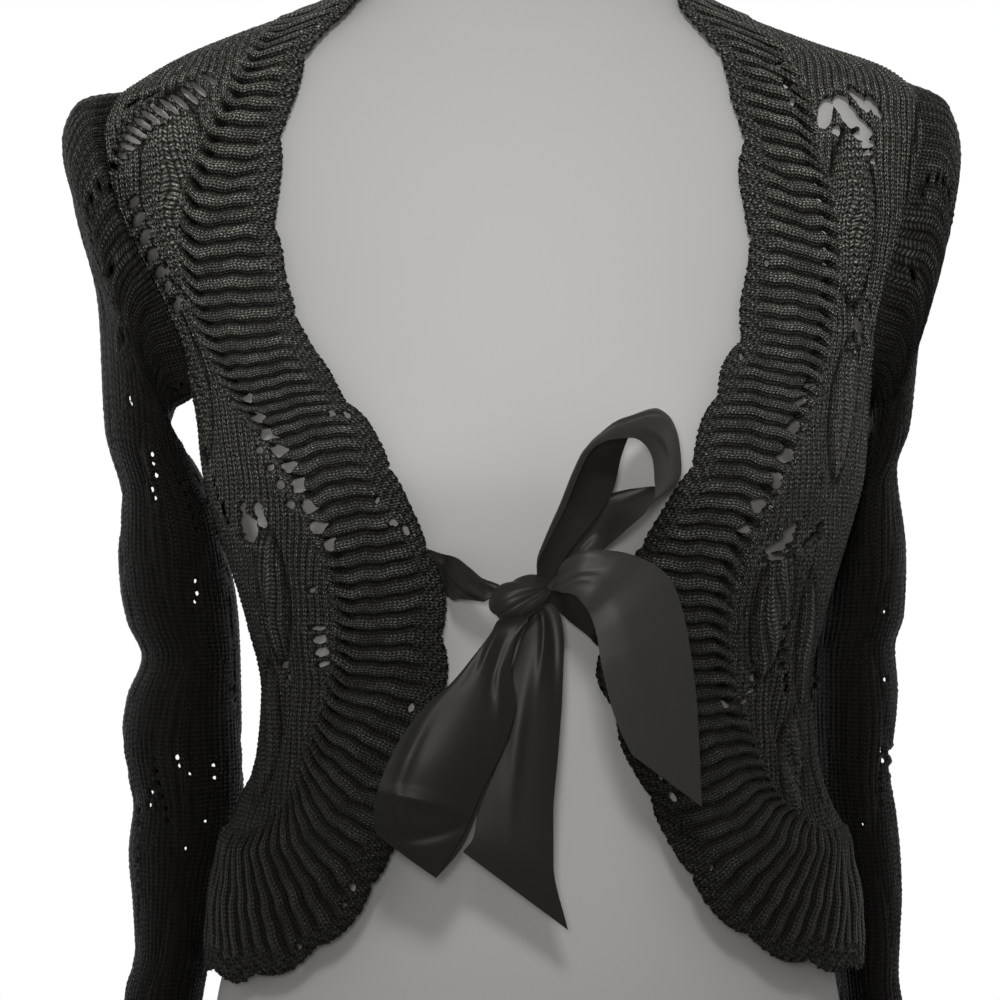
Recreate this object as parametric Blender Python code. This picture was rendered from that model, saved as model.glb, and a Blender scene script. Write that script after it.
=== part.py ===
"""Open-knit cardigan tied with a ribbon bow, on a limbless dress form.

Metres, +Z up, the front faces -Y and +X is to the viewer's right. The origin is on the floor under the
middle of the form. Left and right are the viewer's.

The form is a loft of level oval rings. A place on it is an angle and a height: 0 degrees is the middle
of the front, 90 the right side, -90 the left side and 180 the middle of the back. The cloth follows the
form at the distance that the EASE table gives, and each knitted piece is a wall between two such layers.
"""

import math

import bmesh
import bpy
import numpy as np

# Driving dimensions
LACE_WALL = 0.0020  # knitted lace
RIB_WALL = 0.0030  # the thicker ribbed edging
RIBBON_WALL = 0.0009
SEAM_GAP = 0.0003
SEAM_SIDE = 0.0002  # each piece's distance from the line of a side or shoulder seam
SCALLOP_DEPTH = 0.0035
SLEEVE_CLEARANCE = 0.0025  # from a sleeve to the body that it hangs beside
ARMHOLE_BOTTOM = 0.462
ARMHOLE_BACK = 22.0  # degrees that the armhole's edge stands in from the side line
HEM_TOP = 0.249  # height of the line where the hem's ribs begin
HEM_EDGE = 0.1845
NECK_BAND_LOW = 0.6395  # at the middle of the back
NECK_BAND_TOP = 0.6785

BUST_HEIGHT = 0.428
BUST_REACH = 0.046
BUST_ANGLE = math.radians(34)
BUST_SPREAD = math.radians(22)
BUST_DEPTH = 0.016

LEFT, RIGHT = -1, 1
SHOULDER_TIP = {LEFT: 0.606, RIGHT: 0.610}
ARMHOLE_FRONT = {LEFT: 12.0, RIGHT: 22.0}
# Places of the scalloped edge's notches, in millimetres along it from the shoulder seam.
NOTCHES = {
    LEFT: (-8, 35, 79, 123, 167, 212, 268, 307, 348, 390, 430, 472, 512, 552, 594, 636, 680),
    RIGHT: (-12, 32, 76, 123, 174, 227, 262, 300, 342, 384, 426, 468, 508, 548, 590, 632, 674, 716),
}

FORM_SIDES = 36
SLEEVE_SIDES = 16  # the body pieces have twice as many points round the armhole
BACK_COLUMNS = 17  # shared by the back and the neck band, which meet along a curve


def table(columns, *rows):
    """A small table as one array for each named column."""
    return {name: np.array([row[i] for row in rows], float) for i, name in enumerate(columns.split())}


# The form's level rings: half width, depth to the front and back of the side line, and that line's place.
FORM = table(
    "height half_width front back side_line",
    (0.000, 0.1500, 0.098, 0.104, -0.012),
    (0.050, 0.1570, 0.103, 0.112, -0.012),
    (0.110, 0.1580, 0.104, 0.114, -0.012),
    (0.170, 0.1510, 0.102, 0.107, -0.013),
    (0.225, 0.1370, 0.096, 0.093, -0.015),
    (0.280, 0.1260, 0.090, 0.081, -0.017),
    (0.320, 0.1235, 0.089, 0.077, -0.018),
    (0.355, 0.1310, 0.096, 0.080, -0.018),
    (0.390, 0.1420, 0.106, 0.085, -0.016),
    (0.425, 0.1525, 0.112, 0.090, -0.014),
    (0.460, 0.1575, 0.109, 0.094, -0.010),
    (0.500, 0.1720, 0.100, 0.096, -0.004),
    (0.540, 0.1900, 0.092, 0.095, 0.001),
    (0.566, 0.1985, 0.085, 0.090, 0.004),
    (0.588, 0.2000, 0.078, 0.083, 0.006),
    (0.602, 0.1935, 0.073, 0.077, 0.007),
    (0.612, 0.1800, 0.069, 0.072, 0.007),
    (0.622, 0.1620, 0.064, 0.067, 0.006),
    (0.632, 0.1380, 0.059, 0.062, 0.005),
    (0.642, 0.1110, 0.056, 0.059, 0.004),
    (0.653, 0.0870, 0.053, 0.056, 0.002),
    (0.668, 0.0680, 0.052, 0.054, 0.000),
    (0.690, 0.0580, 0.051, 0.053, -0.003),
    (0.725, 0.0540, 0.050, 0.052, -0.006),
    (0.742, 0.0530, 0.049, 0.051, -0.007),
)
NECK_TOP = (0.7465, 0.7495)  # the neck cap's rounded rim and its flat top
NECK_TOP_SHARE = (0.985, 0.93)  # their size against the last ring

# How far the cloth's inner face stands off the form. The peplum below the waist flares.
EASE = table(
    "height front side back",
    (0.170, 0.020, 0.008, 0.016),
    (0.185, 0.021, 0.010, 0.016),
    (0.215, 0.019, 0.017, 0.015),
    (0.241, 0.017, 0.018, 0.013),
    (0.262, 0.014, 0.013, 0.011),
    (0.292, 0.010, 0.0075, 0.008),
    (0.340, 0.008, 0.007, 0.008),
    (0.400, 0.007, 0.0065, 0.008),
    (0.450, 0.006, 0.006, 0.007),
    (0.520, 0.005, 0.006, 0.006),
    (0.590, 0.005, 0.006, 0.006),
    (0.640, 0.003, 0.0033, 0.004),
    (0.700, 0.003, 0.0033, 0.004),
)
# The right shoulder's seams stand proud of the form.
LIFT = 0.010
LIFT_HEIGHT = 0.612
LIFT_REACH = 0.013
# The cardigan hangs a little to one side.
SWAY = table("height shift", (0.17, 0.003), (0.45, 0.0025), (0.56, -0.003), (0.66, -0.002))

# The front rib bands, a row for each station from the shoulder seam to the side seam: the place where
# the ribs begin and the place of the finished edge. Angles are counted from the middle of the front.
BAND_COLUMNS = "rib_angle rib_height edge_angle edge_height"
BANDS = {
    LEFT: table(
        BAND_COLUMNS,
        (90.0, 0.643, 90.0, 0.664),
        (66.0, 0.635, 62.0, 0.653),
        (52.0, 0.620, 44.0, 0.632),
        (47.5, 0.600, 35.0, 0.602),
        (50.5, 0.578, 35.5, 0.580),
        (55.0, 0.558, 37.5, 0.556),
        (60.5, 0.535, 39.5, 0.533),
        (66.0, 0.510, 41.5, 0.507),
        (68.0, 0.483, 41.0, 0.482),
        (63.0, 0.457, 37.5, 0.461),
        (54.0, 0.437, 32.5, 0.443),
        (48.5, 0.416, 28.5, 0.424),
        (45.0, 0.392, 25.5, 0.403),
        (44.5, 0.368, 22.2, 0.380),
        (46.5, 0.350, 21.8, 0.355),
        (49.5, 0.333, 23.0, 0.330),
        (53.0, 0.315, 26.0, 0.302),
        (56.0, 0.298, 29.0, 0.275),
        (58.0, 0.284, 31.5, 0.250),
        (60.0, 0.272, 35.0, 0.226),
        (63.0, 0.262, 42.0, 0.205),
        (68.0, 0.254, 52.0, 0.191),
        (75.0, 0.250, 66.0, 0.184),
        (83.0, HEM_TOP, 79.0, HEM_EDGE),
        (90.0, HEM_TOP, 90.0, HEM_EDGE),
    ),
    RIGHT: table(
        BAND_COLUMNS,
        (90.0, 0.643, 90.0, 0.664),
        (66.0, 0.641, 60.0, 0.656),
        (51.0, 0.626, 42.0, 0.643),
        (43.0, 0.606, 33.0, 0.622),
        (42.0, 0.582, 29.0, 0.597),
        (45.0, 0.560, 29.0, 0.570),
        (49.0, 0.537, 30.5, 0.543),
        (52.0, 0.513, 32.0, 0.516),
        (53.0, 0.488, 31.5, 0.490),
        (50.0, 0.462, 28.0, 0.465),
        (45.0, 0.440, 24.5, 0.443),
        (40.5, 0.420, 21.5, 0.423),
        (37.0, 0.400, 17.5, 0.405),
        (35.2, 0.377, 13.0, 0.386),
        (36.0, 0.355, 9.0, 0.362),
        (38.5, 0.336, 8.5, 0.337),
        (42.0, 0.316, 11.5, 0.312),
        (45.5, 0.297, 15.5, 0.288),
        (48.5, 0.281, 20.0, 0.262),
        (51.5, 0.269, 24.0, 0.238),
        (56.0, 0.260, 31.0, 0.214),
        (63.0, 0.253, 43.0, 0.196),
        (72.0, 0.250, 60.0, 0.187),
        (82.0, HEM_TOP, 76.0, HEM_EDGE),
        (90.0, HEM_TOP, 90.0, HEM_EDGE),
    ),
}
BAND_CORNER = 20.5  # the station where the lace front's lower corner meets the band
FRONT_STEP = 0.5  # stations between the lace front's rows, which the band's rib line follows

# The sleeves below the armhole, a row for each fold and pinch of the outline: a ring's outermost point
# and its innermost one, which is the underarm side, half its depth and the place of its middle.
SLEEVE_COLUMNS = "outer_x outer_z inner_x inner_z half_depth middle_y"
SLEEVES = {
    LEFT: table(
        SLEEVE_COLUMNS,
        (0.2175, 0.603, 0.1715, 0.456, 0.040, 0.004),
        (0.2260, 0.583, 0.1730, 0.449, 0.044, 0.008),
        (0.2195, 0.552, 0.1710, 0.441, 0.047, 0.014),
        (0.2075, 0.505, 0.1650, 0.432, 0.047, 0.022),
        (0.2045, 0.4457, 0.1570, 0.418, 0.045, 0.027),
        (0.1975, 0.413, 0.1500, 0.400, 0.043, 0.030),
        (0.1985, 0.387, 0.1455, 0.380, 0.042, 0.030),
        (0.1970, 0.367, 0.1425, 0.364, 0.041, 0.031),
        (0.1935, 0.351, 0.1412, 0.350, 0.040, 0.031),
        (0.1865, 0.334, 0.1405, 0.334, 0.038, 0.032),
        (0.1944, 0.312, 0.1397, 0.312, 0.040, 0.033),
        (0.1970, 0.294, 0.1388, 0.294, 0.040, 0.034),
        (0.1944, 0.2754, 0.1380, 0.2754, 0.039, 0.036),
        (0.1910, 0.2595, 0.1390, 0.2595, 0.038, 0.038),
        (0.1930, 0.237, 0.1420, 0.237, 0.038, 0.040),
        (0.1910, 0.209, 0.1490, 0.209, 0.037, 0.041),
        (0.1904, 0.190, 0.1520, 0.190, 0.036, 0.041),
        (0.1960, 0.168, 0.1570, 0.168, 0.036, 0.040),
        (0.2000, 0.130, 0.1600, 0.130, 0.036, 0.038),
        (0.1990, 0.080, 0.1600, 0.080, 0.035, 0.036),
        (0.2020, 0.030, 0.1590, 0.030, 0.036, 0.035),
    ),
    RIGHT: table(
        SLEEVE_COLUMNS,
        (0.2090, 0.607, 0.1695, 0.456, 0.041, 0.004),
        (0.2155, 0.586, 0.1715, 0.449, 0.045, 0.008),
        (0.2075, 0.545, 0.1700, 0.441, 0.048, 0.014),
        (0.1970, 0.497, 0.1650, 0.432, 0.048, 0.022),
        (0.1935, 0.4506, 0.1600, 0.418, 0.046, 0.027),
        (0.1875, 0.428, 0.1540, 0.404, 0.044, 0.029),
        (0.1925, 0.387, 0.1490, 0.380, 0.044, 0.030),
        (0.1912, 0.354, 0.1460, 0.352, 0.043, 0.031),
        (0.1870, 0.338, 0.1445, 0.336, 0.041, 0.032),
        (0.1892, 0.313, 0.1440, 0.313, 0.042, 0.033),
        (0.1860, 0.274, 0.1465, 0.274, 0.040, 0.036),
        (0.1890, 0.253, 0.1490, 0.253, 0.040, 0.038),
        (0.1915, 0.229, 0.1530, 0.229, 0.040, 0.040),
        (0.1925, 0.2056, 0.1570, 0.2056, 0.039, 0.041),
        (0.1910, 0.174, 0.1600, 0.174, 0.038, 0.040),
        (0.1945, 0.150, 0.1620, 0.150, 0.037, 0.039),
        (0.1970, 0.090, 0.1620, 0.090, 0.037, 0.036),
        (0.1990, 0.030, 0.1610, 0.030, 0.037, 0.035),
    ),
}

# The ribbon, in millimetres: a row for each bend, with the ribbon's two edges a and b.
RIBBON_COLUMNS = "a_x a_y a_z b_x b_y b_z"
RIBBONS = {
    "tie_left": table(
        RIBBON_COLUMNS,
        (-57.0, -124.2, 389.0, -56.0, -117.0, 369.0),
        (-50.5, -123.6, 386.8, -48.3, -118.0, 367.6),
        (-44.7, -129.0, 385.3, -44.0, -126.5, 364.9),
        (-38.4, -135.0, 381.3, -37.8, -134.0, 364.7),
        (-32.3, -138.0, 377.3, -31.9, -138.5, 363.9),
        (-25.8, -140.5, 374.2, -29.4, -140.5, 365.3),
    ),
    "tie_right": table(
        RIBBON_COLUMNS,
        (-1.9, -140.5, 370.6, -4.3, -140.0, 365.0),
        (3.8, -138.5, 369.2, 1.6, -138.0, 360.6),
        (9.4, -134.0, 369.6, 7.2, -133.5, 355.9),
        (19.1, -127.5, 364.4, 16.5, -124.0, 349.0),
        (25.2, -122.0, 363.0, 21.2, -117.6, 344.5),
        (31.0, -120.9, 361.5, 27.0, -116.2, 341.5),
    ),
    "loop_up": table(
        RIBBON_COLUMNS,
        (-10.1, -146.5, 376.1, -3.0, -143.0, 374.7),
        (-11.3, -154.0, 384.3, 1.1, -146.5, 381.5),
        (-8.1, -162.0, 396.0, 7.1, -149.5, 390.9),
        (-3.6, -170.0, 410.1, 16.7, -151.5, 403.0),
        (1.2, -175.0, 425.1, 24.8, -152.0, 416.4),
        (5.3, -178.0, 432.5, 28.0, -151.5, 429.8),
        (11.7, -180.0, 436.4, 32.0, -151.5, 440.5),
        (20.4, -180.5, 437.9, 36.5, -152.0, 448.5),
        (29.3, -180.5, 438.2, 43.1, -152.5, 452.1),
        (35.5, -180.0, 434.7, 49.9, -152.5, 448.1),
        (38.8, -178.5, 427.7, 54.2, -152.0, 436.9),
        (39.7, -176.5, 420.2, 55.2, -151.5, 425.3),
        (40.2, -174.5, 413.2, 52.4, -150.5, 417.3),
        (36.6, -172.0, 405.7, 41.3, -149.0, 416.1),
        (27.7, -168.0, 397.3, 26.2, -147.5, 414.1),
        (20.5, -150.5, 389.1, 12.4, -146.0, 408.8),
        (12.6, -148.5, 383.3, 5.8, -144.5, 396.2),
        (4.9, -144.5, 377.4, 0.7, -141.5, 380.5),
    ),
    "loop_down": table(
        RIBBON_COLUMNS,
        (-27.2, -146.5, 356.7, -5.2, -146.3, 362.5),
        (-30.7, -151.0, 352.2, -12.7, -150.0, 357.0),
        (-39.5, -154.5, 341.7, -18.8, -152.5, 346.5),
        (-49.0, -157.5, 330.4, -20.7, -154.5, 334.6),
        (-60.7, -159.5, 319.5, -19.6, -156.5, 321.3),
        (-70.1, -161.0, 307.3, -22.8, -158.0, 307.2),
        (-77.2, -162.0, 294.2, -29.1, -159.0, 293.2),
        (-81.6, -162.0, 281.9, -35.9, -159.5, 280.0),
        (-83.1, -160.5, 272.0, -41.1, -159.0, 267.1),
        (-81.3, -156.5, 263.3, -55.1, -155.5, 243.4),
        (-77.5, -152.0, 271.2, -43.3, -152.0, 256.3),
        (-69.9, -150.0, 291.0, -33.3, -150.0, 279.2),
        (-58.7, -149.0, 313.1, -23.4, -149.0, 306.2),
        (-46.5, -148.0, 326.3, -22.4, -148.0, 326.2),
        (-32.1, -146.5, 344.9, -18.7, -146.5, 344.9),
        (-24.3, -145.0, 355.6, -14.0, -145.0, 354.6),
    ),
    "tail_middle": table(
        RIBBON_COLUMNS,
        (-12.3, -141.0, 359.6, -1.5, -141.0, 364.3),
        (-15.1, -141.8, 351.8, 2.5, -141.8, 356.3),
        (-18.3, -142.5, 341.6, 3.3, -142.5, 347.3),
        (-26.5, -144.0, 319.7, 2.3, -144.0, 321.4),
        (-32.0, -145.0, 297.5, 0.4, -145.0, 296.8),
        (-35.6, -146.0, 276.2, -1.8, -146.0, 270.1),
        (-37.5, -146.5, 261.5, -1.8, -146.5, 247.8),
        (-42.4, -146.5, 253.9, 4.8, -145.5, 218.5),
    ),
    "tail_right": table(
        RIBBON_COLUMNS,
        (-2.3, -144.5, 370.3, -2.5, -147.0, 375.2),
        (1.5, -151.5, 368.2, 4.3, -150.5, 386.0),
        (6.0, -155.0, 367.8, 14.8, -153.0, 389.6),
        (10.7, -157.0, 364.3, 28.1, -154.0, 387.8),
        (13.9, -156.5, 359.0, 40.8, -153.0, 383.3),
        (16.6, -157.0, 350.1, 50.2, -153.5, 375.3),
        (18.3, -157.0, 339.0, 55.6, -153.5, 361.0),
        (22.0, -156.0, 323.3, 59.4, -152.5, 341.7),
        (26.6, -155.0, 309.4, 62.4, -150.5, 319.2),
        (32.6, -154.0, 297.3, 64.9, -148.5, 273.4),
    ),
}
KNOT_MIDDLE = (-0.0161, -0.1430, 0.3673)
KNOT_HALF = (0.0140, 0.0062, 0.0080)
KNOT_TILT = math.radians(24)  # its right end stands higher


def clear_scene():
    for obj in list(bpy.data.objects):
        bpy.data.objects.remove(obj, do_unlink=True)


def material(name, color, roughness, metallic=0.0):
    made = bpy.data.materials.new(name)
    made.use_nodes = True
    shader = made.node_tree.nodes["Principled BSDF"]
    shader.inputs["Base Color"].default_value = (*color, 1.0)
    shader.inputs["Roughness"].default_value = roughness
    shader.inputs["Metallic"].default_value = metallic
    return made


def smooth_curve(places, values, at):
    """Reads values at places by a smooth curve that never swings past its rows."""
    step = np.diff(places)
    slope = np.diff(values) / step
    turn = np.zeros_like(values)
    turn[0], turn[-1] = slope[0], slope[-1]
    for i in range(1, len(values) - 1):
        if slope[i - 1] * slope[i] > 0:
            before, after = 2 * step[i] + step[i - 1], step[i] + 2 * step[i - 1]
            turn[i] = (before + after) / (before / slope[i - 1] + after / slope[i])
    at = np.clip(np.asarray(at, float), places[0], places[-1])
    i = np.clip(np.searchsorted(places, at, side="right") - 1, 0, len(step) - 1)
    t = (at - places[i]) / step[i]
    start = (2 * t**3 - 3 * t**2 + 1) * values[i] + (t**3 - 2 * t**2 + t) * step[i] * turn[i]
    end = (3 * t**2 - 2 * t**3) * values[i + 1] + (t**3 - t**2) * step[i] * turn[i + 1]
    return start + end


def by_height(rows, column, height):
    return smooth_curve(rows["height"], rows[column], height)


def by_row(rows, column, station):
    return smooth_curve(np.arange(len(rows[column]), dtype=float), rows[column], station)


def rib_line(side, column, station):
    """The line between a lace front and its band, straight between the front's own points."""
    shared = np.arange(0, len(BANDS[side][column]) - 1 + FRONT_STEP / 2, FRONT_STEP)
    return np.interp(station, shared, by_row(BANDS[side], column, shared))


# The form and the layers of cloth over it


def form_point(angle, height):
    """Points of the form's surface, at angles in radians."""
    front = by_height(FORM, "front", height)
    bust = np.exp(-(((height - BUST_HEIGHT) / BUST_REACH) ** 2))
    bust = bust * np.exp(-(((np.abs(angle) - BUST_ANGLE) / BUST_SPREAD) ** 2))
    ahead = np.cos(angle)
    depth = np.where(ahead > 0, front + BUST_DEPTH * bust, by_height(FORM, "back", height))
    x = by_height(FORM, "half_width", height) * np.sin(angle)
    y = by_height(FORM, "side_line", height) - depth * ahead
    return np.stack([x, y, height + 0 * angle], -1)


def form_normal(angle, height, step=1e-4):
    across = form_point(angle + step, height) - form_point(angle - step, height)
    upward = form_point(angle, height + step) - form_point(angle, height - step)
    out = np.cross(across, upward)
    return out / np.linalg.norm(out, axis=-1, keepdims=True)


def ease_at(angle, height):
    ahead, aside = np.cos(angle), np.sin(angle)
    middle = np.where(ahead > 0, by_height(EASE, "front", height), by_height(EASE, "back", height))
    lift = LIFT * np.exp(-(((height - LIFT_HEIGHT) / LIFT_REACH) ** 2)) * np.maximum(aside, 0) ** 8
    return middle * ahead**2 + by_height(EASE, "side", height) * aside**2 + lift


def cloth_point(angle, height, out):
    """Points of the cloth, out metres outside its inner face."""
    angle, height = np.broadcast_arrays(np.asarray(angle, float), np.asarray(height, float))
    point = form_point(angle, height)
    point = point + form_normal(angle, height) * (ease_at(angle, height) + out)[..., None]
    point[..., 0] += by_height(SWAY, "shift", height)
    return point


# Solids from layers of points


def new_object(name, mesh_data, finish):
    mesh = bpy.data.meshes.new(name)
    mesh_data.to_mesh(mesh)
    mesh_data.free()
    mesh.materials.append(finish)
    mesh.shade_smooth()
    mesh.set_sharp_from_angle(angle=math.radians(40))
    obj = bpy.data.objects.new(name, mesh)
    bpy.context.collection.objects.link(obj)
    return obj


def close_wall(name, inner, outer, finish, tube=False):
    """A closed wall between two grids of points, with its rims. A tube's rows run all the way round."""
    rows, columns = inner.shape[:2]
    mesh = bmesh.new()
    layers = [[[mesh.verts.new(point) for point in row] for row in grid] for grid in (inner, outer)]
    spans = range(columns if tube else columns - 1)

    def face(*corners):
        mesh.faces.new(corners)

    for i in range(rows - 1):
        for j in spans:
            k = (j + 1) % columns
            low, high = layers
            face(high[i][j], high[i][k], high[i + 1][k], high[i + 1][j])
            face(low[i][j], low[i + 1][j], low[i + 1][k], low[i][k])
    for i, turned in ((0, False), (rows - 1, True)):
        for j in spans:
            k = (j + 1) % columns
            rim = (layers[0][i][j], layers[0][i][k], layers[1][i][k], layers[1][i][j])
            face(*(reversed(rim) if turned else rim))
    if not tube:
        for j, turned in ((0, True), (columns - 1, False)):
            for i in range(rows - 1):
                rim = (layers[0][i][j], layers[0][i + 1][j], layers[1][i + 1][j], layers[1][i][j])
                face(*(reversed(rim) if turned else rim))
    bmesh.ops.recalc_face_normals(mesh, faces=mesh.faces)
    return new_object(name, mesh, finish)


def cloth_wall(name, angle, height, wall, finish):
    inner = cloth_point(angle, height, 0.0)
    outer = cloth_point(angle, height, wall)
    return close_wall(name, inner, outer, finish)


def seam_angle(height):
    """The angle that a piece stays away from the line of a side or shoulder seam."""
    return SEAM_SIDE / by_height(FORM, "back", height)


# Outlines of the knitted pieces


def armhole(side, turn, grow):
    """The armhole's edge at a turn in radians: 0 at the tip, positive down the front, pi underneath."""
    tip = SHOULDER_TIP[side] + grow
    bottom = ARMHOLE_BOTTOM - grow
    height = bottom + (tip - bottom) * (1 + np.cos(turn)) / 2
    front = np.sin(turn) > 0
    inset = np.radians(np.where(front, ARMHOLE_FRONT[side], ARMHOLE_BACK))
    inset = inset * np.abs(np.sin(turn)) ** 0.9
    inset = inset + grow / by_height(FORM, "back", height)
    return np.where(front, math.pi / 2 - inset, math.pi / 2 + inset), height


def scallop(lobe):
    """How far the knitted edge stands out past its line, in lobes with soft notches at whole numbers."""
    wave = np.abs(np.sin(math.pi * lobe))
    return SCALLOP_DEPTH * (wave**0.6 - 0.7)


def band_grid(side, stations, across):
    """Angles and heights of a front band, from its rib line (across = 0) to its scalloped edge (1)."""
    rows = BANDS[side]
    rib_angle = np.radians(rib_line(side, "rib_angle", stations))
    rib_height = rib_line(side, "rib_height", stations)
    edge_angle = np.radians(by_row(rows, "edge_angle", stations))
    edge_height = by_row(rows, "edge_height", stations)
    rib = cloth_point(side * rib_angle, rib_height, 0.0)
    edge = cloth_point(side * edge_angle, edge_height, 0.0)
    width = np.linalg.norm(edge - rib, axis=-1)
    along = np.concatenate([[0], np.cumsum(np.linalg.norm(np.diff(edge, axis=0), axis=-1))])
    lobe = np.interp(along * 1000, NOTCHES[side], np.arange(len(NOTCHES[side])))
    reach = 1 + scallop(lobe) / width
    start = SEAM_GAP * 1.4 / width
    share = start[:, None] + (reach - start)[:, None] * across[None, :]
    angle = rib_angle[:, None] + (edge_angle - rib_angle)[:, None] * share
    height = rib_height[:, None] + (edge_height - rib_height)[:, None] * share
    angle = np.minimum(angle, math.pi / 2 - seam_angle(height))
    return side * angle, height


def front_grid(side):
    """Angles and heights of a lace front, from its band line (first column) to the armhole and side."""
    last = len(BANDS[side]["rib_angle"]) - 1
    down = np.linspace(0, 1, round(BAND_CORNER / FRONT_STEP) + 1)
    across = np.linspace(0, 1, round((last - BAND_CORNER) / FRONT_STEP) + 1)

    def band_line(station):
        return np.stack([rib_line(side, name, station) for name in ("rib_angle", "rib_height")], -1)

    # The band's line down the front, then the armhole and the side seam on the other side.
    near = band_line(BAND_CORNER * down)
    steps = np.arange(len(down))
    angle, height = armhole(side, math.pi * np.clip(steps / SLEEVE_SIDES, 0, 1), SEAM_GAP)
    below = np.clip((steps - SLEEVE_SIDES) / (steps[-1] - SLEEVE_SIDES), 0, 1)
    height = height + (HEM_TOP - height) * below
    far = np.stack([np.degrees(angle), height], -1)
    # The shoulder seam along the top and the band's line along the bottom.
    shoulder = np.stack([90 + 0 * across, 0.643 + (SHOULDER_TIP[side] - 0.643) * across], -1)
    bottom = band_line(BAND_CORNER + (last - BAND_CORNER) * across)
    grid = near[:, None] * (1 - across)[None, :, None] + far[:, None] * across[None, :, None]
    grid = grid + shoulder[None] * (1 - down)[:, None, None] + bottom[None] * down[:, None, None]
    corners = (1 - down)[:, None, None] * (
        (1 - across)[None, :, None] * near[0] + across[None, :, None] * far[0]
    ) + down[:, None, None] * ((1 - across)[None, :, None] * near[-1] + across[None, :, None] * far[-1])
    grid = grid - corners
    angle, height = np.radians(grid[..., 0]), grid[..., 1]
    return side * np.minimum(angle, math.pi / 2 - seam_angle(height)), height


def neck_line(angle):
    """The height of the line between the back and the neck band."""
    return 0.643 + (NECK_BAND_LOW - 0.643) * np.sin(angle - math.pi / 2)


def back_side(side):
    """One side of the back, from the hem up the side seam, the armhole and the shoulder seam."""
    angle, height = armhole(side, -np.linspace(math.pi, 0, SLEEVE_SIDES + 1), SEAM_GAP)
    below = np.linspace(HEM_TOP, height[0], 6)[:-1]
    above = np.linspace(height[-1], 0.643, 3)[1:]
    height = np.concatenate([below, height, above])
    angle = np.concatenate([0 * below, angle, 0 * above])
    return np.maximum(angle, math.pi / 2 + seam_angle(height)), height


def back_grid():
    """Angles and heights of the back, from the hem's rib line up to the shoulder seams and neck band."""
    across = np.linspace(0, 1, BACK_COLUMNS)[None, :]
    (start, start_height), (end, end_height) = back_side(RIGHT), back_side(LEFT)
    angle = start[:, None] + (2 * math.pi - end - start)[:, None] * across
    height = start_height[:, None] + (end_height - start_height)[:, None] * across
    rise = np.clip((height - 0.56) / (0.643 - 0.56), 0, 1) ** 2
    return angle, height + (neck_line(angle) - 0.643) * rise


# The pieces


def make_form(finish):
    heights = []
    for low, high in zip(FORM["height"], FORM["height"][1:]):
        parts = 2 if high - low > 0.045 else 1
        heights += [low + (high - low) * part / parts for part in range(parts)]
    heights.append(FORM["height"][-1])
    angles = np.linspace(0, 2 * math.pi, FORM_SIDES, endpoint=False)
    angles = np.where(angles > math.pi, angles - 2 * math.pi, angles)
    mesh = bmesh.new()
    rings = [[mesh.verts.new(p) for p in form_point(angles, np.full(FORM_SIDES, h))] for h in heights]
    last = form_point(angles, np.full(FORM_SIDES, heights[-1]))
    middle = last.mean(axis=0)
    for height, share in zip(NECK_TOP, NECK_TOP_SHARE):
        ring = middle + (last - middle) * share
        ring[:, 2] = height
        rings.append([mesh.verts.new(p) for p in ring])
    for low, high in zip(rings, rings[1:]):
        for j in range(FORM_SIDES):
            k = (j + 1) % FORM_SIDES
            mesh.faces.new((low[j], low[k], high[k], high[j]))
    mesh.faces.new(list(reversed(rings[0])))
    mesh.faces.new(rings[-1])
    bmesh.ops.recalc_face_normals(mesh, faces=mesh.faces)
    return new_object("dress_form", mesh, finish)


def make_front(side, name, finish):
    angle, height = front_grid(side)
    return cloth_wall(name, angle, height, LACE_WALL, finish)


def make_back(finish):
    angle, height = back_grid()
    angle = np.where(angle > math.pi, angle - 2 * math.pi, angle)
    return cloth_wall("back", angle, height, LACE_WALL, finish)


def make_front_band(side, name, finish):
    last = len(BANDS[side]["rib_angle"]) - 1
    stations = np.linspace(0, last, 4 * last + 1)
    angle, height = band_grid(side, stations, np.array([0.0, 0.5, 1.0]))
    layers = [cloth_point(angle, height, out) for out in (0.0, RIB_WALL)]
    for layer in layers:
        # Along the seam the band is straight between the lace front's points, so the two can't meet.
        layer[1::2, 0] = (layer[:-1:2, 0] + layer[2::2, 0]) / 2
    return close_wall(name, *layers, finish)


def make_neck_band(finish):
    angle = np.linspace(math.pi / 2, 3 * math.pi / 2, BACK_COLUMNS)
    low = neck_line(angle) + SEAM_GAP
    high = 0.664 + (NECK_BAND_TOP - 0.664) * np.sin(angle - math.pi / 2)
    high = high + scallop(np.linspace(0, 5, len(angle))) * 0.6
    height = low[:, None] + (high - low)[:, None] * np.array([0, 0.5, 1.0])[None, :]
    gap = seam_angle(height)
    angle = np.clip(angle[:, None], math.pi / 2 + gap, 3 * math.pi / 2 - gap)
    angle = np.where(angle > math.pi, angle - 2 * math.pi, angle)
    return cloth_wall("neck_band", angle, height, RIB_WALL, finish)


def make_hem_band(finish):
    angle = np.linspace(math.pi / 2, 3 * math.pi / 2, 33)
    low = HEM_EDGE - scallop(np.linspace(0, 8, len(angle)))
    high = HEM_TOP - SEAM_GAP * 1.4
    height = high + (low - high)[:, None] * np.array([0, 0.5, 1.0])[None, :]
    gap = seam_angle(height)
    angle = np.clip(angle[:, None], math.pi / 2 + gap, 3 * math.pi / 2 - gap)
    angle = np.where(angle > math.pi, angle - 2 * math.pi, angle)
    return cloth_wall("hem_band", angle, height, RIB_WALL, finish)


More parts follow.
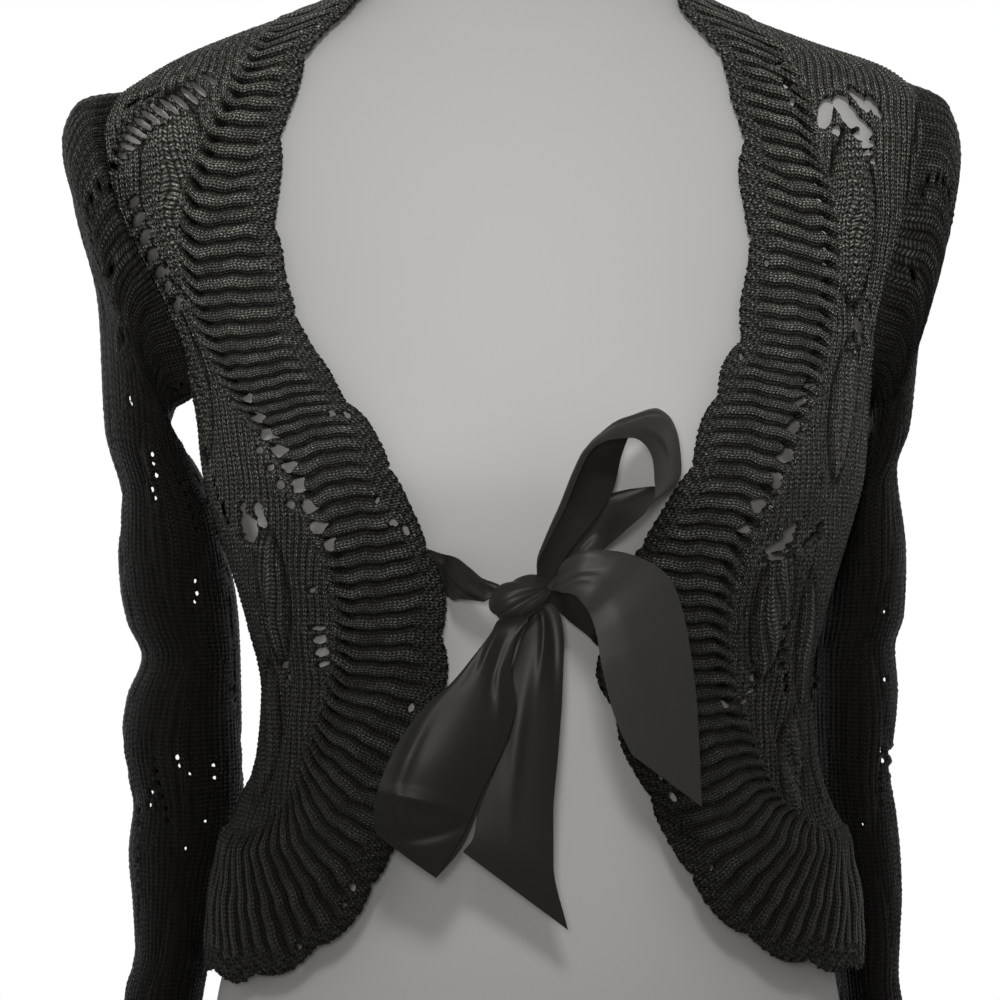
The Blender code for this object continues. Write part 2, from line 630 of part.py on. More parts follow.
def keep_clear(point):
    """Presses a sleeve's points out to its clearance from the body beside it."""
    height = point[..., 2]
    dressed = by_height(EASE, "side", height) + RIB_WALL + SLEEVE_CLEARANCE
    gap = np.where(height < HEM_EDGE - 0.012, 0.006, dressed)
    gap = np.where(height > ARMHOLE_BOTTOM, 0.0, gap)
    sway = by_height(SWAY, "shift", height)
    side_line = by_height(FORM, "side_line", height)
    ahead = point[..., 1] < side_line
    depth = np.where(ahead, by_height(FORM, "front", height), by_height(FORM, "back", height)) + gap
    x = (point[..., 0] - sway) / (by_height(FORM, "half_width", height) + gap)
    y = (point[..., 1] - side_line) / depth
    reach = np.maximum(np.hypot(x, y), 1e-6)
    push = np.where((reach < 1) & (height < ARMHOLE_BOTTOM), 1 / reach, 1.0)
    moved = point.copy()
    moved[..., 0] = sway + (point[..., 0] - sway) * push
    moved[..., 1] = side_line + (point[..., 1] - side_line) * push
    return moved


def sleeve_layer(side, out, stations):
    """One layer of a sleeve: its armhole edge, then a ring for each station."""
    rows = SLEEVES[side]
    turn = np.linspace(0, 2 * math.pi, SLEEVE_SIDES, endpoint=False)
    angle, height = armhole(side, np.where(turn > math.pi, turn - 2 * math.pi, turn), 0.0)
    first = cloth_point(side * angle, height, out)
    places = {}
    for edge in ("outer", "inner"):
        x, z = by_row(rows, f"{edge}_x", stations), by_row(rows, f"{edge}_z", stations)
        places[edge] = np.stack([side * x, 0 * stations, z], -1)
    outer, inner = places["outer"], places["inner"]
    middle, half = (outer + inner) / 2, (outer - inner) / 2
    length = np.linalg.norm(half, axis=-1, keepdims=True)
    half = half / length
    middle[:, 1] = by_row(rows, "middle_y", stations)
    depth = by_row(rows, "half_depth", stations)
    # A ring's wall is measured from its outer face, which is the outline that shows.
    shrink = LACE_WALL - out
    ring = middle[:, None] + half[:, None] * ((length - shrink)[:, None] * np.cos(turn)[None, :, None])
    ring[..., 1] -= (depth - shrink)[:, None] * np.sin(turn)[None, :]
    return first, ring


def make_sleeve(side, name, finish):
    stations = np.linspace(0, len(SLEEVES[side]["outer_x"]) - 1, 21)
    first, outer = sleeve_layer(side, LACE_WALL, stations)
    start, _ = sleeve_layer(side, 0.0, stations)
    outer = keep_clear(outer)
    # The inner face is the outer one moved in along each ring's own outline.
    ahead, behind = np.roll(outer, -1, axis=1), np.roll(outer, 1, axis=1)
    around = ahead - behind
    along = np.gradient(outer, axis=0)
    inward = np.cross(around, along)
    inward /= np.linalg.norm(inward, axis=-1, keepdims=True)
    centre = outer.mean(axis=1, keepdims=True)
    toward = np.sum(inward * (centre - outer), axis=-1, keepdims=True)
    inward = np.where(toward < 0, -inward, inward)
    inner = outer + inward * LACE_WALL
    return close_wall(
        name, np.concatenate([start[None], inner]), np.concatenate([first[None], outer]), finish, tube=True
    )


def make_ribbon(name, rows_along, finish):
    rows = RIBBONS[name]
    stations = np.linspace(0, len(rows["a_x"]) - 1, rows_along)
    edges = []
    for edge in "ab":
        edges.append(np.stack([by_row(rows, f"{edge}_{axis}", stations) for axis in "xyz"], -1) / 1000)
    share = np.array([0.0, 1.0])[None, :, None]
    middle = edges[0][:, None] * (1 - share) + edges[1][:, None] * share
    across = (edges[1] - edges[0])[:, None]
    along = np.gradient(middle, axis=0)
    out = np.cross(across, along)
    out /= np.linalg.norm(out, axis=-1, keepdims=True)
    return close_wall(name, middle - out * RIBBON_WALL / 2, middle + out * RIBBON_WALL / 2, finish)


def make_knot(finish):
    mesh = bmesh.new()
    bmesh.ops.create_uvsphere(mesh, u_segments=14, v_segments=9, radius=1.0)
    for vert in mesh.verts:
        x, y, z = (half * co for half, co in zip(KNOT_HALF, vert.co))
        along = x * math.cos(KNOT_TILT) - z * math.sin(KNOT_TILT)
        up = x * math.sin(KNOT_TILT) + z * math.cos(KNOT_TILT)
        vert.co = (KNOT_MIDDLE[0] + along, KNOT_MIDDLE[1] + y, KNOT_MIDDLE[2] + up)
    return new_object("knot", mesh, finish)


def main():
    clear_scene()
    jersey = material("form_jersey", (0.52, 0.51, 0.50), 0.85)
    lace = material("lace_knit", (0.022, 0.022, 0.020), 0.80)
    rib = material("rib_knit", (0.024, 0.024, 0.022), 0.75)
    satin = material("satin_ribbon", (0.030, 0.030, 0.027), 0.35)
    make_form(jersey)
    for side, name in ((LEFT, "left"), (RIGHT, "right")):
        make_front(side, f"{name}_front", lace)
        make_front_band(side, f"{name}_front_band", rib)
        make_sleeve(side, f"{name}_sleeve", lace)
    make_back(lace)
    make_neck_band(rib)
    make_hem_band(rib)
    for name, rows in RIBBONS.items():
        make_ribbon(name, 2 * len(rows["a_x"]) - 1, satin)
    make_knot(satin)


main()
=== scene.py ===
import math

import bpy
import numpy as np
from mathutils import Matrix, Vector


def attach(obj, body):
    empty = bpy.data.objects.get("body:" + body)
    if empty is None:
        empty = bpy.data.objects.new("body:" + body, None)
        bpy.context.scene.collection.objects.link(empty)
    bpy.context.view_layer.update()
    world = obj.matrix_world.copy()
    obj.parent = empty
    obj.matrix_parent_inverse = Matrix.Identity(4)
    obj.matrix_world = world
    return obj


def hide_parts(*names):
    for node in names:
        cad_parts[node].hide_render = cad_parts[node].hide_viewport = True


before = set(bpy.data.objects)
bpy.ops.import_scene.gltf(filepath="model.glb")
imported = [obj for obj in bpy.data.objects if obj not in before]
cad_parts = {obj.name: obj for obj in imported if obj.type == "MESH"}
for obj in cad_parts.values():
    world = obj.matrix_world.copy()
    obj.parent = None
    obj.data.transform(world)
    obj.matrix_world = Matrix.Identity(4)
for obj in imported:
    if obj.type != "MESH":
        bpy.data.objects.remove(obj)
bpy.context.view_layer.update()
coarse = 1.0
left, right = -1, 1
print("frame loaded", flush=True)


# Columns of numbers by name. A row that is too short ends in zeros.
def table(columns, *rows):
    names = columns.split()
    filled = [row + (0,) * (len(names) - len(row)) for row in rows]
    return {name: np.array([row[i] for row in filled], float) for i, name in enumerate(names)}


# Monotone curve through rows; values may have more axes after the first.
def smoothCurve(places, values, at):
    step = np.diff(places)
    shape = (-1,) + (1,) * (values.ndim - 1)
    slope = np.diff(values, axis=0) / step.reshape(shape)
    turn = np.zeros_like(values)
    turn[0], turn[-1] = slope[0], slope[-1]
    before, after = 2 * step[1:] + step[:-1], step[1:] + 2 * step[:-1]
    before, after = before.reshape(shape), after.reshape(shape)
    same = slope[:-1] * slope[1:] > 0
    safe = np.where(same, slope[:-1], 1.0), np.where(same, slope[1:], 1.0)
    turn[1:-1] = np.where(same, (before + after) / (before / safe[0] + after / safe[1]), 0.0)
    at = np.clip(np.asarray(at, float), places[0], places[-1])
    i = np.clip(np.searchsorted(places, at, side="right") - 1, 0, len(step) - 1)
    t = (at - places[i]) / step[i]
    h = step[i]
    if values.ndim > 1:
        t, h = t.reshape((-1,) + shape[1:]), h.reshape((-1,) + shape[1:])
    start = (2 * t**3 - 3 * t**2 + 1) * values[i] + (t**3 - 2 * t**2 + t) * h * turn[i]
    end = (3 * t**2 - 2 * t**3) * values[i + 1] + (t**3 - t**2) * h * turn[i + 1]
    return start + end


def byHeight(rows, column, height):
    return smoothCurve(rows["height"], rows[column], height)


def byRow(rows, column, station):
    return smoothCurve(np.arange(len(rows[column]), dtype=float), rows[column], station)


def smoothStep(low, high, x):
    t = np.clip((x - low) / (high - low), 0, 1)
    return t * t * (3 - 2 * t)


# Metres along a line of points from its start. For rows of points, the mean of their steps.
def pathLengths(points):
    steps = np.linalg.norm(np.diff(points, axis=0), axis=-1).reshape(len(points) - 1, -1)
    return np.concatenate([[0], np.cumsum(steps.mean(axis=1))])


# The dress form: level rings, angles from the middle of the front

form = table(
    "height half_width front back side_line",
    (0, 0.15, 0.098, 0.104, -0.012), (0.05, 0.157, 0.103, 0.112, -0.012),
    (0.11, 0.158, 0.104, 0.114, -0.012), (0.17, 0.151, 0.102, 0.107, -0.013),
    (0.225, 0.137, 0.096, 0.093, -0.015), (0.28, 0.126, 0.09, 0.081, -0.017),
    (0.32, 0.1235, 0.089, 0.077, -0.018), (0.355, 0.131, 0.096, 0.08, -0.018),
    (0.39, 0.142, 0.106, 0.085, -0.016), (0.425, 0.1525, 0.112, 0.09, -0.014),
    (0.46, 0.1575, 0.109, 0.094, -0.01), (0.5, 0.172, 0.1, 0.096, -0.004),
    (0.54, 0.19, 0.092, 0.095, 0.001), (0.566, 0.1985, 0.085, 0.09, 0.004),
    (0.588, 0.2, 0.078, 0.083, 0.006), (0.602, 0.1935, 0.073, 0.077, 0.007),
    (0.612, 0.18, 0.069, 0.072, 0.007), (0.622, 0.162, 0.064, 0.067, 0.006),
    (0.632, 0.138, 0.059, 0.062, 0.005), (0.642, 0.111, 0.056, 0.059, 0.004),
    (0.653, 0.087, 0.053, 0.056, 0.002), (0.668, 0.068, 0.052, 0.054, 0),
    (0.69, 0.058, 0.051, 0.053, -0.003), (0.725, 0.054, 0.05, 0.052, -0.006),
    (0.742, 0.053, 0.049, 0.051, -0.007),
)
bust = {"height": 0.428, "reach": 0.046, "angle": 34, "spread": 22, "depth": 0.016}
ease = table(
    "height front side back",
    (0.17, 0.02, 0.008, 0.016), (0.185, 0.021, 0.01, 0.016), (0.215, 0.019, 0.017, 0.015),
    (0.241, 0.017, 0.018, 0.013), (0.262, 0.014, 0.013, 0.011), (0.292, 0.01, 0.0075, 0.008),
    (0.34, 0.008, 0.007, 0.008), (0.4, 0.007, 0.0065, 0.008), (0.45, 0.0055, 0.0052, 0.007),
    (0.5, 0.003, 0.0028, 0.0055), (0.59, 0.0028, 0.0028, 0.005), (0.64, 0.003, 0.0033, 0.004),
    (0.7, 0.003, 0.0033, 0.004),
)
lift = {"amount": 0.0065, "height": 0.612, "reach": 0.013}
sway = table("height shift", (0.17, 0.003), (0.45, 0.0025), (0.56, -0.003), (0.66, -0.002))


def formPoint(angle, height):
    reach = np.exp(-(((height - bust["height"]) / bust["reach"]) ** 2))
    spread = (np.abs(angle) - math.radians(bust["angle"])) / math.radians(bust["spread"])
    front = byHeight(form, "front", height) + bust["depth"] * reach * np.exp(-(spread**2))
    ahead = np.cos(angle)
    depth = np.where(ahead > 0, front, byHeight(form, "back", height))
    x = byHeight(form, "half_width", height) * np.sin(angle)
    y = byHeight(form, "side_line", height) - depth * ahead
    return np.stack([x, y, height + 0 * angle], -1)


def formNormal(angle, height, step=1e-4):
    across = formPoint(angle + step, height) - formPoint(angle - step, height)
    upward = formPoint(angle, height + step) - formPoint(angle, height - step)
    out = np.cross(across, upward)
    return out / np.linalg.norm(out, axis=-1, keepdims=True)


def easeAt(angle, height):
    ahead, aside = np.cos(angle), np.sin(angle)
    middle = np.where(ahead > 0, byHeight(ease, "front", height), byHeight(ease, "back", height))
    raised = lift["amount"] * np.exp(-(((height - lift["height"]) / lift["reach"]) ** 2))
    raised = raised * np.maximum(aside, 0) ** 8
    return middle * ahead**2 + byHeight(ease, "side", height) * aside**2 + raised


def clothPoint(angle, height, out):
    angle, height = np.broadcast_arrays(np.asarray(angle, float), np.asarray(height, float))
    point = formPoint(angle, height)
    point = point + formNormal(angle, height) * (easeAt(angle, height) + out)[..., None]
    point[..., 0] += byHeight(sway, "shift", height)
    return point


# Distances over the body in millimetres, round from the middle of the front and up from the hem,
# so that stitches, ropes and holes keep their size where the body slopes.
flatMap = {"around": 121, "up": 161, "low": 0.17, "span": 0.53}
mapAngles = np.radians(np.linspace(0, 180, flatMap["around"]))
mapHeights = np.linspace(flatMap["low"], 0.70, flatMap["up"])
mapPoints = clothPoint(mapAngles[None, :], mapHeights[:, None], 0.0)
aroundSteps = np.linalg.norm(np.diff(mapPoints, axis=1), axis=-1)
aroundMap = 1000 * np.concatenate([np.zeros((flatMap["up"], 1)), np.cumsum(aroundSteps, axis=1)], axis=1)
upSteps = np.linalg.norm(np.diff(mapPoints, axis=0), axis=-1)
upMap = 1000 * np.concatenate([np.zeros((1, flatMap["around"])), np.cumsum(upSteps, axis=0)], axis=0)


def bodyFlat(angle, height):
    angle, height = np.broadcast_arrays(np.asarray(angle, float), np.asarray(height, float))
    j = np.clip(np.abs(angle) / mapAngles[-1], 0, 1) * (flatMap["around"] - 1.001)
    i = np.clip((height - flatMap["low"]) / flatMap["span"], 0, 1) * (flatMap["up"] - 1.001)
    i0, j0 = i.astype(int), j.astype(int)
    a, b = i - i0, j - j0
    flat = []
    for grid in (aroundMap, upMap):
        low = grid[i0, j0] * (1 - b) + grid[i0, j0 + 1] * b
        high = grid[i0 + 1, j0] * (1 - b) + grid[i0 + 1, j0 + 1] * b
        flat.append(low * (1 - a) + high * a)
    return np.where(angle < 0, -flat[0], flat[0]), flat[1]


# The same for the back: round from its middle, so that its pattern stands upright.
def backFlat(angle, height):
    around, up = bodyFlat(angle, height)
    whole = bodyFlat(np.full(np.shape(height), math.pi), height)[0]
    return np.where(angle < 0, whole + around, around - whole), up


# Meshes from grids of points, with the holes cut out along smooth lines

# What is left of a grid cell, by which of its corners a b c d are cloth (1, 2, 4 and 8 added up).
cutCases = {
    15: ("a b c d",), 1: ("a ab da",), 2: ("b bc ab",), 4: ("c cd bc",), 8: ("d da cd",),
    3: ("a b bc da",), 6: ("b c cd ab",), 12: ("c d da bc",), 9: ("d a ab cd",),
    7: ("a b c cd da",), 11: ("a b bc cd d",), 13: ("a ab bc c d",), 14: ("b c d da ab",),
    5: ("a ab da", "c cd bc"), 10: ("b bc ab", "d da cd"),
}


# A sheet over a grid of points. kept is positive where there is cloth and negative in a hole. uv holds
# the stitch distances and each point's painted light and shade.
def gridMesh(name, points, uv, outward, kept=None, tube=False):
    rows, columns = points.shape[:2]
    if kept is None:
        kept = np.ones((rows, columns))
    kept = np.where(np.abs(kept) < 1e-7, 1e-7, kept)
    inside = kept > 0
    ids = np.arange(rows * columns).reshape(rows, columns)
    shared = ids.copy()
    if tube:
        shared[:, -1] = shared[:, 0]
    places, maps, links = [points.reshape(-1, 3)], [uv.reshape(-1, uv.shape[-1])], [shared.reshape(-1)]
    count = rows * columns

    # New points where a hole's edge crosses the grid's lines, from the first point of each to the second.
    def crossings(first, second, wraps):
        nonlocal count
        cut = inside[first] != inside[second]
        found = -np.ones(cut.shape, int)
        drop = np.where(cut, kept[first] - kept[second], 1.0)
        share = np.clip(kept[first] / drop, 0.03, 0.97)[cut][:, None]
        found[cut] = count + np.arange(cut.sum())
        for stored, values in ((places, points), (maps, uv)):
            stored.append(values[first][cut] * (1 - share) + values[second][cut] * share)
        link = found.copy()
        if wraps:
            link[:, -1] = np.where(found[:, 0] >= 0, found[:, 0], found[:, -1])
        links.append(link[cut])
        count += int(cut.sum())
        return found

    across = crossings(np.s_[:, :-1], np.s_[:, 1:], False)
    down = crossings(np.s_[:-1], np.s_[1:], tube)
    corners = {
        "a": ids[:-1, :-1], "b": ids[:-1, 1:], "c": ids[1:, 1:], "d": ids[1:, :-1],
        "ab": across[:-1], "cd": across[1:], "da": down[:, :-1], "bc": down[:, 1:],
    }
    code = inside[:-1, :-1] + 2 * inside[:-1, 1:] + 4 * inside[1:, 1:] + 8 * inside[1:, :-1]
    groups = []
    for case, shapes in cutCases.items():
        chosen = code == case
        if chosen.any():
            groups += [np.stack([corners[k][chosen] for k in shape.split()], -1) for shape in shapes]
    places, maps, links = np.concatenate(places), np.concatenate(maps), np.concatenate(links)
    middle = (rows // 2, columns // 2)
    along = points[middle[0], middle[1] + 1] - points[middle]
    upward = points[middle[0] + 1, middle[1]] - points[middle]
    if np.dot(np.cross(along, upward), outward[middle]) < 0:
        groups = [group[:, ::-1] for group in groups]
    sizes = np.concatenate([np.full(len(group), group.shape[1]) for group in groups])
    loops = np.concatenate([group.reshape(-1) for group in groups])
    used, compact = np.unique(links[loops], return_inverse=True)
    mesh = bpy.data.meshes.new(name)
    mesh.vertices.add(len(used))
    mesh.vertices.foreach_set("co", places[used].reshape(-1))
    mesh.loops.add(len(loops))
    mesh.loops.foreach_set("vertex_index", compact.astype(np.int32))
    mesh.polygons.add(len(sizes))
    starts = np.concatenate([[0], np.cumsum(sizes)[:-1]])
    mesh.polygons.foreach_set("loop_start", starts.astype(np.int32))
    mesh.polygons.foreach_set("loop_total", sizes.astype(np.int32))
    layer = mesh.uv_layers.new(name="Stitches")
    layer.data.foreach_set("uv", np.ascontiguousarray(maps[loops, :2]).reshape(-1))
    # The attribute carries painted light and shade: the materials turn it into lighter and darker colour.
    paintedShade = mesh.attributes.new("PaintedShade", "FLOAT", "POINT")
    paintedShade.data.foreach_set("value", np.ascontiguousarray(maps[used, 2]))
    mesh.validate()
    mesh.update()
    mesh.shade_smooth()
    piece = bpy.data.objects.new(name, mesh)
    bpy.context.collection.objects.link(piece)
    return piece


def gridNormals(points):
    across, down = np.gradient(points, axis=1), np.gradient(points, axis=0)
    out = np.cross(across, down)
    return out / np.maximum(np.linalg.norm(out, axis=-1, keepdims=True), 1e-12)


def gridArea(points):
    a, b = points[:-1, :-1] - points[1:, 1:], points[1:, :-1] - points[:-1, 1:]
    return 0.5 * np.linalg.norm(np.cross(a, b), axis=-1).sum()


# Materials

# The second colour of the cotton and of the satin is a painted highlight, mixed in where light is painted on.
colors = {
    "cotton": (0.0026, 0.0023, 0.0016),
    "cotton_painted_highlight": (0.290, 0.298, 0.250),
    "satin": (0.0040, 0.0032, 0.0024),
    "satin_painted_highlight": (0.0165, 0.0156, 0.0132),
    "jersey": (0.226, 0.222, 0.217),
}


# Links a socket to another node's output, or sets it to a value.
def feed(tree, socket, value):
    if isinstance(value, bpy.types.NodeSocket):
        tree.links.new(value, socket)
    else:
        socket.default_value = value


def addNode(tree, kind, inputs=None, **settings):
    node = tree.nodes.new("ShaderNode" + kind)
    for setting, value in settings.items():
        setattr(node, setting, value)
    for socket, value in (inputs or {}).items():
        feed(tree, node.inputs[socket], value)
    return node


def nodeMath(tree, operation, *values):
    return addNode(tree, "Math", dict(enumerate(values)), operation=operation).outputs[0]


def mixColors(tree, factor, low, high):
    inputs = {"Factor": factor, "A": (*low, 1), "B": (*high, 1)}
    return addNode(tree, "Mix", inputs, data_type="RGBA").outputs["Result"]


def fineNoise(tree, scale):
    place = addNode(tree, "TexCoord").outputs["Object"]
    return addNode(tree, "TexNoise", {"Scale": scale, "Detail": 1, "Vector": place}).outputs[0]


def newMaterial(name):
    made = bpy.data.materials.new(name)
    made.use_nodes = True
    return made, made.node_tree


def setShader(tree, inputs):
    for socket, value in inputs.items():
        feed(tree, tree.nodes["Principled BSDF"].inputs[socket], value)


# Knit stitches: columns of slanted legs, from distances in millimetres.
def stitchGroup():
    group = bpy.data.node_groups.new("knitStitches", "ShaderNodeTree")
    group.interface.new_socket("Distances", in_out="INPUT", socket_type="NodeSocketVector")
    group.interface.new_socket("Column width", in_out="INPUT", socket_type="NodeSocketFloat")
    group.interface.new_socket("Row height", in_out="INPUT", socket_type="NodeSocketFloat")
    group.interface.new_socket("Height", in_out="OUTPUT", socket_type="NodeSocketFloat")
    start, end = group.nodes.new("NodeGroupInput"), group.nodes.new("NodeGroupOutput")

    def calc(operation, *values):
        return nodeMath(group, operation, *values)

    split = addNode(group, "SeparateXYZ", {0: start.outputs["Distances"]})
    part = calc("FRACT", calc("DIVIDE", split.outputs[0], start.outputs["Column width"]))
    leg = calc("MULTIPLY", calc("ABSOLUTE", calc("SUBTRACT", part, 0.5)), 2.0)
    row = calc("DIVIDE", split.outputs[1], start.outputs["Row height"])
    phase = calc("ADD", row, calc("MULTIPLY", leg, 0.62))
    wave = calc("POWER", calc("ABSOLUTE", calc("SINE", calc("MULTIPLY", phase, math.pi))), 0.6)
    halves = calc("FRACT", calc("MULTIPLY", part, 2.0))
    legs = calc("MAXIMUM", calc("SINE", calc("MULTIPLY", halves, math.pi)), 0.0)
    group.links.new(calc("MULTIPLY", wave, calc("POWER", legs, 0.55)), end.inputs[0])
    return group


stitches = stitchGroup()


def knitMaterial(name, column, row, strength):
    made, tree = newMaterial(name)
    distances = addNode(tree, "UVMap", uv_map="Stitches").outputs[0]
    sizes = {"Distances": distances, "Column width": column, "Row height": row}
    stitch = addNode(tree, "Group", node_tree=stitches)
    for socket, value in sizes.items():
        feed(tree, stitch.inputs[socket], value)
    height = stitch.outputs[0]
    fibre = fineNoise(tree, 1400)
    # Painted light: fine specks are painted glints, the tops of the stitch legs are painted lighter than the
    # gaps between them, and the painted shade attribute lightens raised knit and darkens its grooves and
    # lower parts.
    paintedGlints = nodeMath(tree, "MULTIPLY", nodeMath(tree, "POWER", fibre, 4.0), 5.0)
    paintedRidgeLight = nodeMath(tree, "POWER", addNode(tree, "Attribute", attribute_name="PaintedShade").outputs["Fac"], 1.6)
    legs = nodeMath(tree, "POWER", height, 1.7)
    paintedLightAndGrain = nodeMath(tree, "MULTIPLY", nodeMath(tree, "ADD", paintedGlints, 0.13), legs)
    paintedLightAndGrain = nodeMath(tree, "MULTIPLY", paintedLightAndGrain, paintedRidgeLight)
    total = nodeMath(tree, "ADD", height, nodeMath(tree, "MULTIPLY", fibre, 0.35))
    bump = addNode(tree, "Bump", {"Strength": strength, "Distance": 0.0019, "Height": total})
    setShader(tree, {
        "Base Color": mixColors(tree, paintedLightAndGrain, colors["cotton"], colors["cotton_painted_highlight"]),
        "Normal": bump.outputs[0], "Roughness": 0.42, "Specular IOR Level": 0.08,
        "Sheen Weight": 0.01, "Sheen Roughness": 0.4,
    })
    return made


def satinMaterial():
    made, tree = newMaterial("satin_ribbon")
    paintedShade = addNode(tree, "Attribute", attribute_name="PaintedShade").outputs["Fac"]
    # Painted light and shade: each stretch's painted value makes its colour lighter or darker, times the
    # satin's own fine grain.
    grain = nodeMath(tree, "ADD", nodeMath(tree, "MULTIPLY", fineNoise(tree, 2600), 0.8), 0.6)
    paintedLightAndGrain = nodeMath(tree, "MULTIPLY", paintedShade, grain)
    setShader(tree, {
        "Base Color": mixColors(tree, paintedLightAndGrain, colors["satin"], colors["satin_painted_highlight"]),
        "Roughness": 0.38, "Specular IOR Level": 0.075, "Sheen Weight": 0.02,
    })
    return made


def jerseyMaterial():
    made, tree = newMaterial("form_jersey")
    setShader(tree, {"Base Color": (*colors["jersey"], 1), "Roughness": 0.9, "Specular IOR Level": 0.2})
    return made


# A knit's columns and rows of stitches, in millimetres, and how strongly they stand out.
knitLooks = {
    "rib_knit": knitMaterial("rib_knit", 8.0 / 3, 2.1, 0.9),
    "lace_knit": knitMaterial("lace_knit", 2.5, 2.2, 0.9),
}
satinLook, jerseyLook = satinMaterial(), jerseyMaterial()


def finish(piece, material, node):
    piece.data.materials.append(material)
    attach(piece, "root")
    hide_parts(node)
    return piece


# The holes of the lace, as rows of place, width and length in millimetres and tilt. They were picked by
# eye on the photo, carried onto the body by a scratch program and then partly changed by hand.

